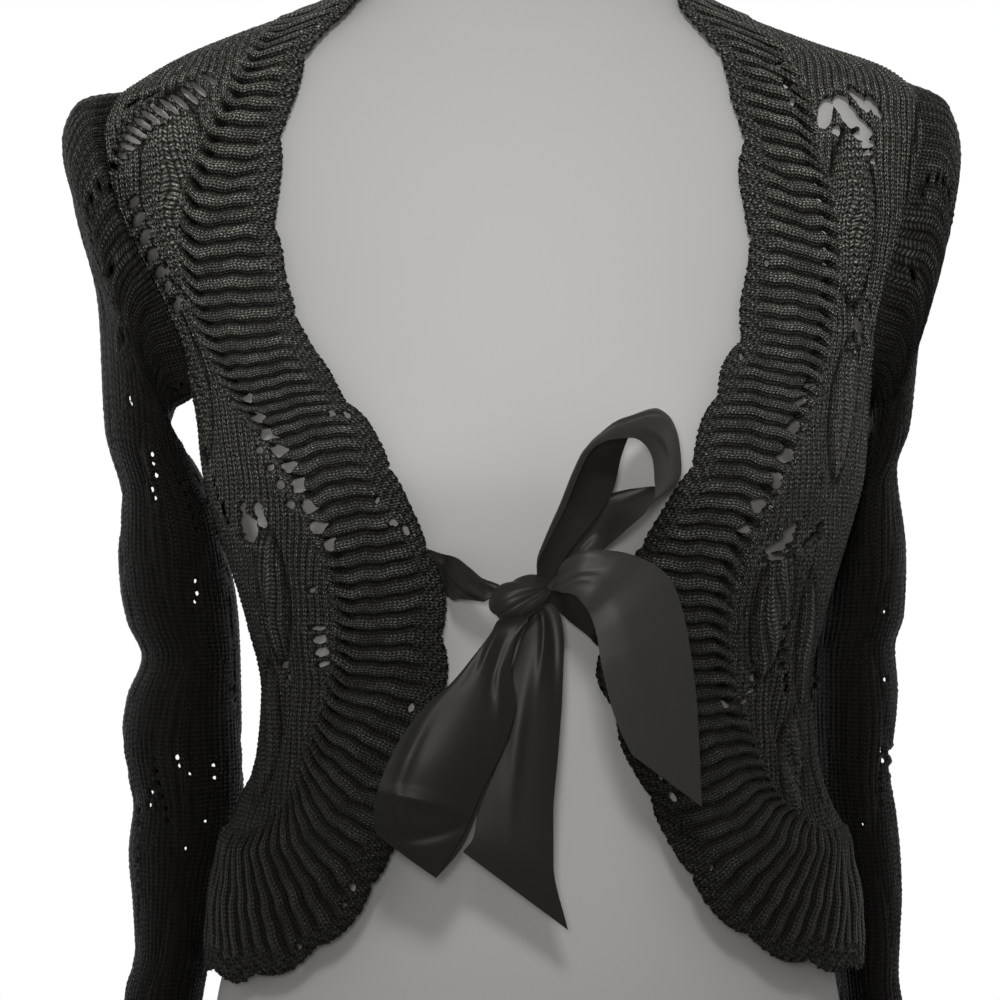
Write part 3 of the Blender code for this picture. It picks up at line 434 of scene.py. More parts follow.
holeColumns = "angle height wide long tilt"
bodyHoles = {
    "left_shoulder_arc": table(
        holeColumns,
        (-54.2, 0.6085, 3.4, 14, -44), (-54.6, 0.6045, 3.3, 15, -46), (-55.8, 0.6017, 3.2, 15.5, -44),
        (-57.3, 0.5988, 3.2, 16, -42), (-59, 0.5963, 3.1, 16, -38), (-61, 0.5942, 3.1, 16, -36),
        (-63, 0.5919, 3, 16, -32), (-65.1, 0.5893, 3, 14.5, -29), (-67.2, 0.5863, 3, 14.9, -29),
        (-69.2, 0.5832, 3, 14.5, -24), (-71, 0.5798, 3, 13, -19), (-73.2, 0.576, 3, 10.7, -22),
        (-76, 0.5705, 3, 10.5, -18),
    ),
    "left_shoulder_top": table(holeColumns, (-66, 0.602, 3, 9, 27), (-71.5, 0.599, 3.4, 10, 27)),
    "left_shoulder_inner": table(
        holeColumns,
        (-68.6, 0.5225, 3.2, 10.0, 50),
    ),
    "left_armhole": table(
        holeColumns,
        (-71.5, 0.5535, 5, 11, 20), (-72.5, 0.5455, 5.6, 14, 20), (-73, 0.537, 6, 15, 18),
        (-73.6, 0.5285, 6, 15, 14), (-74, 0.5205, 5.6, 14, 12), (-74, 0.5135, 5, 13, 18),
        (-73.6, 0.505, 6, 14, 30),
    ),
    "left_bust": table(
        holeColumns,
        (-75.2, 0.4085, 7.2, 7.9, -80), (-66, 0.409, 6.6, 6.6, -60), (-60.3, 0.406, 7.2, 13.8, -65),
        (-65.8, 0.401, 10.8, 17.3, -28), (-68, 0.395, 2.4, 12.7, -14), (-75.2, 0.403, 3, 4.4, 15),
        (-80, 0.4345, 3.1, 5.5, 64), (-79, 0.428, 3.1, 5.6, 64), (-77.2, 0.4205, 3.2, 6.5, 57),
        (-76.8, 0.4145, 3.2, 6.8, 57),
    ),
    "left_eyelets": table(
        holeColumns,
        (-58.8, 0.4585, 4.9, 8.1, -10), (-56.5, 0.449, 5.5, 8.7, -12), (-54.2, 0.441, 6, 9.3, 0),
        (-51.5, 0.4335, 6.2, 9.2, 0), (-49.2, 0.4265, 5.3, 8.7, 8), (-47.5, 0.419, 6.7, 8.5, 0),
        (-46, 0.4105, 7, 8.4, -12), (-45.2, 0.401, 6.2, 8.6, -15), (-43.2, 0.393, 4.6, 6.9, -28),
        (-56.8, 0.434, 3.8, 5.8, 0), (-54, 0.4265, 3.1, 6.7, 8), (-52, 0.4195, 4.6, 6.3, 0),
        (-50.5, 0.411, 4.3, 6.2, 0),
    ),
    "left_ladder": table(
        holeColumns,
        (-50.5, 0.372, 2.9, 3.8, 25), (-51.2, 0.354, 2.3, 8.4, 0), (-51.5, 0.3488, 4.3, 9, 6),
        (-51.6, 0.343, 4.6, 9.2, 8), (-51.8, 0.3372, 2.6, 8.4, 15), (-68.2, 0.335, 3.5, 4.4, 0),
        (-67, 0.329, 2.6, 3.6, 57),
    ),
    "left_edge": table(
        holeColumns,
        (-39.2, 0.4485, 3.4, 4.4, 50), (-36.2, 0.4475, 2.6, 5, -39), (-32, 0.413, 2.5, 2.9, 69),
        (-29.5, 0.404, 3.8, 5, -62), (-27.5, 0.4005, 2.6, 5.8, -62), (-30.2, 0.316, 3.2, 4.3, -90),
        (-38, 0.232, 3.2, 4.1, -90), (-39.2, 0.224, 2.2, 2.8, 50), (-47.8, 0.203, 2.5, 3.5, 30),
    ),
    "right_shoulder": table(
        holeColumns,
        (45, 0.5945, 8.6, 16.5, 72), (46.8, 0.5865, 4.7, 5.8, -41), (50, 0.5965, 9, 20, -58),
        (52.8, 0.59, 5, 15.5, -40), (55, 0.602, 5.6, 17, -52), (58, 0.599, 5, 15, -56),
        (52.7, 0.5852, 4.4, 9.8, -6), (54, 0.5812, 3.9, 8, 5), (54.2, 0.577, 2.5, 5.5, 0),
        (55.5, 0.573, 3.4, 3.4, 70), (43.2, 0.6165, 3.1, 4.6, 60), (40.5, 0.6075, 4.7, 5.1, -70),
        (39.2, 0.599, 2.5, 4.3, -80),
    ),
    "right_armhole": table(
        holeColumns,
        (64.5, 0.504, 4.1, 8.8, -48), (62.2, 0.495, 5.5, 10.6, -38), (65, 0.4885, 3.8, 8.4, -30),
        (60.5, 0.48, 4.3, 6.1, -61),
    ),
    "right_eyelets": table(
        holeColumns,
        (47.2, 0.464, 3.7, 5.1, 23), (45.5, 0.455, 4.8, 7.7, 15), (43.5, 0.4435, 6.9, 8.1, -11),
        (41.5, 0.4315, 7.6, 8.6, 0), (39.5, 0.421, 7.6, 8.4, 0), (36.2, 0.411, 6.9, 9.2, 16),
        (34, 0.401, 5.3, 6.4, 16), (52.8, 0.4205, 3.4, 7, 89),
    ),
    "right_bust": table(
        holeColumns,
        (44.5, 0.393, 5.7, 20.9, 18), (46.5, 0.4, 5.1, 11.3, 22), (55.2, 0.3945, 4.7, 16.5, 24),
        (57.2, 0.401, 3.4, 5.9, 16), (44, 0.3872, 2.5, 14.3, 6),
    ),
    "right_ladder": table(
        holeColumns,
        (53.2, 0.354, 2.6, 4.8, 35), (54, 0.347, 2.6, 4.8, 35), (55.2, 0.3415, 2.8, 5.4, 25),
        (56.5, 0.335, 2.8, 4.8, 20), (59.3, 0.3285, 3, 5.7, 56), (60, 0.3225, 3.2, 5.7, 62),
        (44.5, 0.336, 2.4, 4, 25), (46, 0.33, 3.8, 5.9, 10), (45.5, 0.3225, 2.4, 7.7, 22),
        (43, 0.3175, 3, 4, 36), (37.8, 0.3165, 3.6, 4.5, 55),
    ),
    "right_edge": table(
        holeColumns,
        (31.8, 0.475, 3, 4.6, 84), (35.2, 0.521, 2.1, 3.8, -67), (23.2, 0.2745, 3.1, 5.6, -62),
        (21, 0.284, 2.1, 4.6, -80), (29, 0.2405, 2.4, 3.5, 78),
    ),
}


# Distances along and across one tilted hole, in halves of its length and width.
def holeAxes(x, y, rows, k):
    tilt = math.radians(rows["tilt"][k])
    lengthwise = (x * math.cos(tilt) + y * math.sin(tilt)) / (rows["long"][k] / 2)
    return lengthwise, (y * math.cos(tilt) - x * math.sin(tilt)) / (rows["wide"][k] / 2)


# Millimetres from the nearest hole's edge, negative inside it.
def holeDistance(u, v, rows, squareness):
    nearest = np.full(u.shape, 50.0)
    centre = bodyFlat(np.radians(rows["angle"]), rows["height"])
    for k in range(len(rows["angle"])):
        x, y = u - centre[0][k], v - centre[1][k]
        near = (np.abs(x) < 20) & (np.abs(y) < 20)
        if near.any():
            lengthwise, crosswise = holeAxes(x[near], y[near], rows, k)
            reach = (np.abs(lengthwise) ** squareness + np.abs(crosswise) ** squareness) ** (1 / squareness)
            nearest[near] = np.minimum(nearest[near], (reach - 1) * rows["wide"][k] / 2)
    return nearest


def bodyHoleField(angle, u, v, squareness=2.4):
    nearest = np.full(u.shape, 50.0)
    for name, rows in bodyHoles.items():
        if (name.startswith("left")) == (angle.mean() < 0):
            nearest = np.minimum(nearest, holeDistance(u, v, rows, squareness))
    return nearest


# Millimetres of relief round a hole: a raised thread, then the rounding into the hole.
def holeRim(distance):
    raised = 0.7 * np.exp(-(((distance - 1.5) / 0.9) ** 2))
    return raised - 1.1 * np.exp(-np.maximum(distance, 0) / 0.7)


# The knitted lace: ropes of stitches that flow round leaves

leafColumns = "angle height half_wide half_tall lean knobs"
frontLeaves = {
    left: table(
        leafColumns,
        (-58, 0.556, 20, 52, 0.05, 1), (-80, 0.47, 16, 40, 0.1, 0.6), (-64, 0.368, 12, 33, -0.1, 0),
        (-77, 0.3, 12, 34, 0.1, 0.3),
    ),
    right: table(
        leafColumns,
        (52, 0.545, 15, 46, -0.05, 1), (74, 0.56, 13, 44, 0, 0.3), (60, 0.455, 13, 36, 0.1, 0.5),
        (48, 0.362, 14, 34, 0.12, 0), (66, 0.345, 10, 34, -0.08, 0), (60, 0.285, 11, 26, 0.1, 0.6),
        (80, 0.29, 12, 30, 0.1, 0.4),
    ),
}
# Millimetres of relief that the knit fades to at its seams, and metres from the eased surface to the cloth.
seamLevel = 0.95
clothBase = 0.0006
laceLook = {"rope_pitch": 4.6, "rope_height": 1.7, "knob_height": 2.0, "dome": 2.0, "warp": 0.8}


def knobs(u, v, pitch=4.2):
    one = np.sin(2 * math.pi * u / pitch + 1.3 * np.sin(v / 3.7))
    two = np.sin(2 * math.pi * v / (pitch * 0.9) + 1.1 * np.sin(u / 4.3))
    return 0.5 + 0.5 * one * two


# Small unevenness in the columns of stitches, in millimetres.
def wander(u, v):
    return 0.9 * np.sin(v / 12.7 + 1.3 + u / 41) + 0.5 * np.sin(v / 5.9 + u / 13)


# How far out a place is in a leaf, from 0 in its middle to 1 at its edge.
def leafReach(x, y):
    return x**2 * (1 + 0.6 * y**2) + np.abs(y) ** 2.2


def ropes(flow, v, pitch):
    return np.abs(np.cos(math.pi * flow / pitch)) ** 0.7 * (1 + 0.18 * np.sin(2 * math.pi * v / 2.6 + flow))


def knitRows(u, v, bow):
    return 0.55 * np.abs(np.sin(math.pi * (v + bow + wander(v, u)) / 4.6))


# Relief in millimetres, the columns' own distance across, which flows round the leaves, and the
# swelling of the leaves.
def leafRelief(u, v, centres, leaves):
    flow = u + wander(u, v)
    inside, dome, bow = np.zeros(u.shape), np.zeros(u.shape), np.zeros(u.shape)
    border = np.full(u.shape, 9.0)
    for k in range(len(leaves["half_wide"])):
        wide, tall = leaves["half_wide"][k], leaves["half_tall"][k]
        y = (v - centres[1][k]) / tall
        x = (u - centres[0][k] - leaves["lean"][k] * (v - centres[1][k])) / wide
        reach = leafReach(x, y)
        flow = flow - laceLook["warp"] * wide * x * np.exp(-1.1 * reach)
        inside = np.maximum(inside, leaves["knobs"][k] * smoothStep(1.05, 0.8, reach))
        bow = np.where(reach < 1.1, 5.0 * x**2, bow)
        dome = np.maximum(dome, np.clip(1 - reach, 0, 1) ** 0.7)
        border = np.minimum(border, np.abs(np.sqrt(reach) - 1) * wide)
    rope = ropes(flow, v, laceLook["rope_pitch"])
    knobbly = knitRows(u, v, bow) + 0.6 * knobs(u, v + bow)
    relief = laceLook["rope_height"] * rope * (1 - inside) + laceLook["knob_height"] * knobbly * inside
    relief = relief - 1.2 * np.exp(-((border / 1.3) ** 2))
    return relief, flow, laceLook["dome"] * dome


# Folds and hollows of the worn cloth: lines of places with a depth and a width in millimetres

foldColumns = "angle height depth width"
bodyFolds = {
    "left_side": table(
        foldColumns,
        (-72, 0.385, 0.6, 4), (-66, 0.35, 1.8, 5), (-67, 0.315, 2.2, 5), (-72, 0.285, 1.2, 7),
    ),
    "left_shoulder": table(
        foldColumns,
        (-70, 0.56, 0.4, 6), (-78, 0.52, 1.4, 7), (-80, 0.48, 1.6, 7), (-76, 0.44, 0.5, 8),
    ),
    "left_corner": table(foldColumns, (-60, 0.262, 0.8, 6), (-54, 0.235, 1.3, 9), (-50, 0.205, 0.4, 10)),
    "right_lower": table(
        foldColumns,
        (53, 0.35, 0.5, 4), (54, 0.312, 2.2, 5), (60, 0.282, 2.6, 6), (66, 0.255, 1.6, 8),
    ),
    "right_bust": table(foldColumns, (68, 0.44, 0.4, 5), (62, 0.408, 1.6, 6), (52, 0.396, 0.8, 5)),
    "right_corner": table(foldColumns, (76, 0.25, 0.8, 6), (71, 0.222, 1.8, 9), (66, 0.198, 0.5, 10)),
    "back_waist": table(
        foldColumns,
        (118, 0.345, 0.5, 8), (135, 0.33, 2, 10), (160, 0.336, 1.6, 11), (176, 0.328, 0.5, 9),
    ),
    "back_waist_low": table(
        foldColumns,
        (-125, 0.318, 0.5, 8), (-145, 0.308, 1.8, 10), (-168, 0.312, 0.6, 10),
    ),
    "back_shoulder": table(
        foldColumns,
        (-118, 0.56, 0.6, 9), (-122, 0.51, 2, 11), (-116, 0.455, 0.7, 10),
    ),
}


def foldRelief(u, v):
    relief = np.zeros(u.shape)
    for rows in bodyFolds.values():
        stations = np.linspace(0, len(rows["angle"]) - 1, 40)
        places = bodyFlat(np.radians(byRow(rows, "angle", stations)), byRow(rows, "height", stations))
        depth, width = byRow(rows, "depth", stations), byRow(rows, "width", stations)
        if places[0].max() < u.min() - 30 or places[0].min() > u.max() + 30:
            continue
        best = np.zeros(u.shape)
        for k in range(len(stations)):
            spread = ((u - places[0][k]) ** 2 + (v - places[1][k]) ** 2) / width[k] ** 2
            best = np.maximum(best, depth[k] * np.exp(-spread))
        relief -= best
    return relief


# The rib bands along the fronts, the neck and the hem

bandColumns = "rib_angle rib_height edge_angle edge_height"
bands = {
    left: table(
        bandColumns,
        (90, 0.643, 90, 0.664), (66, 0.635, 62, 0.653), (52, 0.62, 44, 0.632), (47.5, 0.6, 35, 0.602),
        (50.5, 0.578, 35.5, 0.58), (55, 0.558, 37.5, 0.556), (60.5, 0.535, 39.5, 0.533),
        (66, 0.51, 41.5, 0.507), (68, 0.483, 41, 0.482), (63, 0.457, 37.5, 0.461),
        (54, 0.437, 32.5, 0.443), (48.5, 0.416, 28.5, 0.424), (45, 0.392, 25.5, 0.403),
        (44.5, 0.368, 22.2, 0.38), (46.5, 0.35, 21.8, 0.355), (49.5, 0.333, 23, 0.33),
        (53, 0.315, 26, 0.302), (56, 0.298, 29, 0.275), (58, 0.284, 31.5, 0.25), (60, 0.272, 35, 0.226),
        (63, 0.262, 42, 0.205), (68, 0.254, 52, 0.191), (75, 0.25, 66, 0.184), (83, 0.249, 79, 0.1845),
        (90, 0.249, 90, 0.1845),
    ),
    right: table(
        bandColumns,
        (90, 0.643, 90, 0.664), (66, 0.641, 60, 0.656), (51, 0.626, 42, 0.643), (43, 0.606, 33, 0.622),
        (42, 0.582, 29, 0.597), (45, 0.56, 29, 0.57), (49, 0.537, 30.5, 0.543), (52, 0.513, 32, 0.516),
        (53, 0.488, 31.5, 0.49), (50, 0.462, 28, 0.465), (45, 0.44, 24.5, 0.443),
        (40.5, 0.42, 21.5, 0.423), (37, 0.4, 17.5, 0.405), (35.2, 0.377, 13, 0.386),
        (36, 0.355, 9, 0.362), (38.5, 0.336, 8.5, 0.337), (42, 0.316, 11.5, 0.312),
        (45.5, 0.297, 15.5, 0.288), (48.5, 0.281, 20, 0.262), (51.5, 0.269, 24, 0.238),
        (56, 0.26, 31, 0.214), (63, 0.253, 43, 0.196), (72, 0.25, 60, 0.187), (82, 0.249, 76, 0.1845),
        (90, 0.249, 90, 0.1845),
    ),
}
bandCorner = 20.5
hemTop, hemEdge = 0.249, 0.1845
shoulderSeam, neckSide = 0.643, 0.664
neckLow, neckHigh = 0.6395, 0.6785
# Places of the scalloped edge's notches, in millimetres along it from the shoulder seam.
notches = {
    left: (-8, 35, 79, 123, 167, 212, 268, 307, 348, 390, 430, 472, 512, 552, 594, 636, 680),
    right: (-12, 32, 76, 123, 174, 227, 262, 300, 342, 384, 426, 468, 508, 548, 590, 632, 674, 716),
}
ribLook = {
    "pitch": 8.0,
    "roll": 2.5,
    "thread": 0.7,
    "dimple": 3.6,
    "edging": 12.0,
    "scallop": 3.5,
    "hook": {left: 6.0, right: -4.0},
    "hook_length": 12.0,
    "across_step": 1.35,
    "along_step": 0.62,
    "under_front": 1.6,
}


# Millimetres that the edge stands out past its line, in lobes with soft notches and small knobs.
def scallop(distance, places, depth):
    lobe = np.interp(distance, places, np.arange(len(places)))
    wave = depth * (np.abs(np.sin(math.pi * lobe)) ** 0.6 - 0.7)
    knob = 0.55 * np.abs(np.sin(math.pi * distance / 3.3 + 0.7 * np.sin(distance / 9.1)))
    return wave + knob + 0.35 * np.sin(distance / 5.3)


# Relief of the band in millimetres, from distances along it, from the rib line and from the edge.
def ribRelief(along, inward, outward, hook, corner):
    bend = np.clip(1 - inward / ribLook["hook_length"], 0, 1) ** 2
    shifted = along + hook * bend + 1.0 * np.sin(inward / 11 + along / 57)
    shifted = shifted + 0.7 * np.sin(inward / 6 + along / 19) + 0.35 * np.sin(inward / 2.3 + along / 7.1)
    phase = shifted / ribLook["pitch"]
    x = phase - np.round(phase)
    uneven = 1 + 0.16 * np.sin(2.4 * np.round(phase) + inward / 9) + 0.10 * np.sin(along / 31 + inward / 4)
    roll = np.sqrt(np.clip(1 - (x / 0.40) ** 2, 0, 1)) * uneven
    thread = np.exp(-(((np.abs(x - 0.03) - 0.5) / 0.055) ** 2)) * (0.8 + 0.4 * np.sin(inward * 1.9))
    ribs = ribLook["roll"] * roll + ribLook["thread"] * thread
    plain = smoothStep(ribLook["edging"] * 0.5, ribLook["edging"] * 1.2, outward + 2.6 * np.sin(along / 13))
    edging = 0.3 + 2.3 * knobs(along + 0.35 * outward, outward * 1.05, 4.6) + 0.4 * roll
    relief = ribs * plain + edging * (1 - plain)
    side = np.exp(-(((np.abs(x) - 0.5) / 0.19) ** 2))
    hollow = side * np.exp(-(((inward - 6.5) / 2.7) ** 2)) * (1 + 0.3 * np.sin(3.1 * np.round(phase)))
    second = (1 - side) * np.exp(-(((inward - 2.3) / 1.1) ** 2))
    knot = knobs(along, inward * 1.3 + 1.1, 4.4) * smoothStep(5.5, 2.0, inward)
    relief = relief + (1.6 * knot - ribLook["dimple"] * hollow - 1.1 * second) * corner
    rounding = np.exp(-np.maximum(outward, 0) / 0.9)
    return relief - 0.9 * rounding, shifted


# The rib line between its rows, in straight steps of half a row.
def ribLine(rows, column, at):
    shared = np.arange(0, len(rows[column]) - 0.75, 0.5)
    return np.interp(at, shared, byRow(rows, column, shared))


def bandGrid(side):
    rows = bands[side]
    dense = np.linspace(0, len(rows["rib_angle"]) - 1, 1500)

    def line(at, share):
        angle = ribLine(rows, "rib_angle", at) * (1 - share) + byRow(rows, "edge_angle", at) * share
        height = ribLine(rows, "rib_height", at) * (1 - share) + byRow(rows, "edge_height", at) * share
        return np.radians(angle), height

    def lengths(share):
        angle, height = line(dense, share)
        return 1000 * pathLengths(clothPoint(side * angle, height, 0.0))

    middle, edge = lengths(0.5), lengths(1.0)
    along = np.linspace(0, middle[-1], int(middle[-1] / (ribLook["along_step"] * coarse)))
    station = np.interp(along, middle, dense)
    edgeAlong = np.interp(station, dense, edge)
    (angleRib, heightRib), (angleRim, heightRim) = line(station, 0.0), line(station, 1.0)
    rib, rim = clothPoint(side * angleRib, heightRib, 0.0), clothPoint(side * angleRim, heightRim, 0.0)
    width = 1000 * np.linalg.norm(rim - rib, axis=-1)
    reach = 1 + scallop(edgeAlong, notches[side], ribLook["scallop"]) / width
    under = -ribLook["under_front"] / width[:, None]
    share = np.linspace(0, 1, int(66 / (ribLook["across_step"] * coarse)))[None, :]
    share = under + (reach[:, None] - under) * share
    angle = angleRib[:, None] + (angleRim - angleRib)[:, None] * share
    height = heightRib[:, None] + (heightRim - heightRib)[:, None] * share
    angle = np.minimum(angle, math.pi / 2 - 0.0001)
    inward = share * width[:, None]
    outward = (reach[:, None] - share) * width[:, None]
    return side * angle, height, along[:, None], inward, outward, station


# Painted light and shade: the knit's colour is painted lighter at the shoulders and darker toward the hem and
# the cuffs, where less light falls.
paintedLightFade = table(
    "height body sleeve",
    (0, 0.26, 0.12), (0.17, 0.3, 0.14), (0.3, 0.44, 0.16), (0.42, 0.8, 0.22), (0.5, 1.06, 0.48),
    (0.59, 1.18, 0.98), (0.75, 1.18, 1),
)


def clothPiece(name, slot, angle, height, reliefMm, stitch, kept, peak, swell=0.0):
    points = clothPoint(angle, height, clothBase + (reliefMm + swell) / 1000)
    flat = clothPoint(angle, height, 0.001)
    print(f"  {name} flat area {gridArea(flat):.4f} m2", flush=True)
    # Painted light and shade: raised knit is painted lighter, grooves and hole rims darker, and the whole
    # knit darker toward the hem.
    paintedShade = np.clip(reliefMm / peak, 0, 1) * byHeight(paintedLightFade, "body", height)
    uv = np.stack([*np.broadcast_arrays(*stitch), paintedShade], -1)
    piece = gridMesh(name, points, uv, formNormal(angle, height), kept)
    return finish(piece, knitLooks[slot], name)


def ribPiece(name, angle, height, relief, stitch, kept=None, swell=0.0):
    return clothPiece(name, "rib_knit", angle, height, relief, stitch, kept, 3.0, swell)


def makeFrontBand(side, name):
    angle, height, along, inward, outward, station = bandGrid(side)
    corner = (smoothStep(0.5, 2.5, station) * (1 - 0.6 * smoothStep(14, 19, station)))[:, None]
    relief, shifted = ribRelief(along, inward, outward, ribLook["hook"][side], corner)
    u, v = bodyFlat(angle, height)
    holes = bodyHoleField(angle, u, v, 2.0)
    relief = relief + holeRim(holes) - 1.0 * smoothStep(0.2, -1.6, inward)
    folds = foldRelief(u, v)
    return ribPiece(name, angle, height, relief, (shifted, inward), holes / 1000, folds)


def neckLine(angle):
    return shoulderSeam + (neckLow - shoulderSeam) * np.sin(angle - math.pi / 2)


# Angles round the back from the right side to the left, and the same kept within half a turn.
def backTurn(count):
    turn = np.linspace(math.pi / 2, 3 * math.pi / 2, int(count / coarse))
    return turn, np.where(turn > math.pi, turn - 2 * math.pi, turn)


def makeNeckBand():
    turn, wrapped = backTurn(400)
    low = neckLine(turn)
    high = neckSide + (neckHigh - neckSide) * np.sin(turn - math.pi / 2)
    along = 1000 * pathLengths(clothPoint(wrapped, (low + high) / 2, 0.0))
    lowPoints, highPoints = clothPoint(wrapped, low, 0.0), clothPoint(wrapped, high, 0.0)
    width = 1000 * np.linalg.norm(highPoints - lowPoints, axis=-1)[:, None]
    reach = 1 + 0.7 * scallop(along, np.arange(-20, 400, 42.0), 2.5)[:, None] / width
    share = np.linspace(0, 1, int(30 / coarse))[None, :] * reach
    height = low[:, None] + (high - low)[:, None] * share
    angle = np.broadcast_to(np.clip(wrapped, -math.pi, math.pi)[:, None], height.shape)
    inward = share * width
    relief, shifted = ribRelief(along[:, None], inward, (reach - share) * width, 4.0, 0.6)
    return ribPiece("neck_band", angle, height, relief, (shifted, inward))


def makeHemBand():
    turn, wrapped = backTurn(560)
    along = 1000 * pathLengths(clothPoint(wrapped, np.full(turn.shape, 0.215), 0.0))
    width = 1000 * (hemTop - hemEdge)
    reach = 1 + scallop(along, np.arange(-10, 500, 42.0), ribLook["scallop"])[:, None] / width
    share = np.linspace(0, 1, int(46 / coarse))[None, :] * reach
    height = hemTop + (hemEdge - hemTop) * share
    angle = np.broadcast_to(wrapped[:, None], height.shape)
    inward = share * width
    relief, shifted = ribRelief(along[:, None], inward, (reach - share) * width, 3.0, 0.5)
    swell = foldRelief(*bodyFlat(angle, height))
    return ribPiece("hem_band", angle, height, relief, (shifted, inward), None, swell)


# The lace fronts and back

armholes = {
    "bottom": 0.462,
    "tip": {left: 0.606, right: 0.610},
    "front": {left: 12.0, right: 22.0},
    "back": 22.0,
}


def armhole(side, turn):
    height = armholes["bottom"] + (armholes["tip"][side] - armholes["bottom"]) * (1 + np.cos(turn)) / 2
    front = np.sin(turn) > 0
    inset = np.radians(np.where(front, armholes["front"][side], armholes["back"]))
    inset = inset * np.abs(np.sin(turn)) ** 0.9
    return np.where(front, math.pi / 2 - inset, math.pi / 2 + inset), height


def frontGrid(side, downCount, acrossCount):
    rows = bands[side]
    last = len(rows["rib_angle"]) - 1
    down, across = np.linspace(0, 1, downCount), np.linspace(0, 1, acrossCount)

    def ribPlaces(at):
        return np.stack([ribLine(rows, column, at) for column in ("rib_angle", "rib_height")], -1)

    near = ribPlaces(bandCorner * down)
    armShare = 16 / 41
    angle, height = armhole(side, math.pi * np.clip(down / armShare, 0, 1))
    below = np.clip((down - armShare) / (1 - armShare), 0, 1)
    height = height + (hemTop - height) * below
    far = np.stack([np.degrees(angle), height], -1)
    shoulder = np.stack([90 + 0 * across, shoulderSeam + (armholes["tip"][side] - shoulderSeam) * across], -1)
    bottom = ribPlaces(bandCorner + (last - bandCorner) * across)
    a, d = across[None, :, None], down[:, None, None]
    grid = near[:, None] * (1 - a) + far[:, None] * a + shoulder[None] * (1 - d) + bottom[None] * d
    ends = (1 - d) * ((1 - a) * near[0] + a * far[0]) + d * ((1 - a) * near[-1] + a * far[-1])
    grid = grid - ends
    angle = np.minimum(np.radians(grid[..., 0]), math.pi / 2 - 0.0001)
    return side * angle, grid[..., 1]


def makeFront(side, name):
    angle, height = frontGrid(side, int(460 / coarse), int(84 / coarse))
    u, v = bodyFlat(angle, height)
    leaves = frontLeaves[side]
    centres = bodyFlat(np.radians(leaves["angle"]), leaves["height"])
    relief, flow, dome = leafRelief(u, v, centres, leaves)
    holes = bodyHoleField(angle, u, v)
    relief = relief + holeRim(holes)
    rim = np.minimum(np.arange(angle.shape[1])[::-1][None, :], np.arange(angle.shape[0])[:, None]) * 1.0
    relief = seamLevel + (relief - seamLevel) * smoothStep(-1, 3, rim)
    steps = np.hypot(np.diff(u), np.diff(v))
    fromBand = np.concatenate([np.zeros((len(u), 1)), np.cumsum(steps, axis=1)], axis=1)
    braid = np.exp(-((fromBand / 6.0) ** 2))
    relief = relief * (1 - 0.7 * braid) + 2.2 * knobs(v * 1.1, fromBand * 1.2, 4.8) * braid
    swell = (dome + foldRelief(u, v)) * smoothStep(-1, 6, rim) * (1 - braid)
    return clothPiece(name, "lace_knit", angle, height, relief, (flow, v), holes / 1000, 1.85, swell)


leafCell = {"wide": 46.0, "tall": 84.0}


# A plain repeat of leaves with a ladder of holes down each side. Returns relief, columns, holes and
# swelling.
def leafPattern(u, v, wide, tall, holeSize, ladder, knobbly):
    column = np.round(u / wide)
    y = v / tall + 0.5 * (column % 2)
    row = np.round(y)
    x, y = u - column * wide, (y - row) * tall
    halfWide, halfTall = 0.30 * wide, 0.44 * tall
    reach = leafReach(x / halfWide, y / halfTall)
    flow = x - 0.55 * x * np.exp(-1.1 * reach) + wander(u, v) * 0.6 + column * wide
    inside = smoothStep(1.05, 0.8, reach) * knobbly
    knobRows = knitRows(u, v, 5 * (x / halfWide) ** 2) + 0.6 * knobs(u, v)
    relief = 1.5 * ropes(flow, v, 4.9) * (1 - inside) + 1.7 * knobRows * inside
    relief = relief - (0.4 + 0.6 * knobbly) * np.exp(-(((np.sqrt(reach) - 1) * halfWide / 1.3) ** 2))
    side = (np.sqrt(np.maximum(reach, 1e-6)) - 1.12) * halfWide
    step = 6.2
    slot = (y / step - np.round(y / step)) * step
    inRange = (np.abs(y) < halfTall * 0.62) & (x * (((column + row) % 2) * 2 - 1) > -ladder * wide)
    distance = np.hypot(side / 1.35, slot) - holeSize / 2
    holes = np.where(inRange, distance, 9.0)
    return relief, flow, holes, 1.7 * np.clip(1 - reach, 0, 1) ** 0.7


def backSide(side, count):
    turn = -np.linspace(math.pi, 0, int(count * 0.46))
    angle, height = armhole(side, turn)
    below = np.linspace(hemTop, height[0], int(count * 0.44))[:-1]
    above = np.linspace(height[-1], shoulderSeam, int(count * 0.10))[1:]
    height = np.concatenate([below, height, above])
    angle = np.concatenate([0 * below, angle, 0 * above])
    return np.maximum(angle, math.pi / 2 + 0.0001), height


def makeBack():
    count = int(310 / coarse)
    (start, startHeight), (end, endHeight) = backSide(right, count), backSide(left, count)
    across = np.linspace(0, 1, int(250 / coarse))[None, :]
    angle = start[:, None] + (2 * math.pi - end - start)[:, None] * across
    height = startHeight[:, None] + (endHeight - startHeight)[:, None] * across
    rise = np.clip((height - 0.56) / (shoulderSeam - 0.56), 0, 1) ** 2
    height = height + (neckLine(angle) - shoulderSeam) * rise
    angle = np.where(angle > math.pi, angle - 2 * math.pi, angle)
    around, v = backFlat(angle, height)
    relief, flow, holes, dome = leafPattern(around, v, leafCell["wide"], leafCell["tall"], 4.0, 1.0, 0.9)
    fromEdge = [np.minimum(np.arange(size), np.arange(size)[::-1]) for size in angle.shape]
    rim = np.minimum.outer(*fromEdge)
    holes = np.where(rim < 6, 9.0, holes)
    relief = seamLevel + (relief + holeRim(holes) - seamLevel) * smoothStep(-1, 3, rim * 1.0)
    folds = foldRelief(*bodyFlat(angle, height))
    swell = (dome + folds) * smoothStep(-1, 6, rim * 1.0)
    return clothPiece("back", "lace_knit", angle, height, relief, (flow, v), holes / 1000, 2.1, swell)


# The sleeves

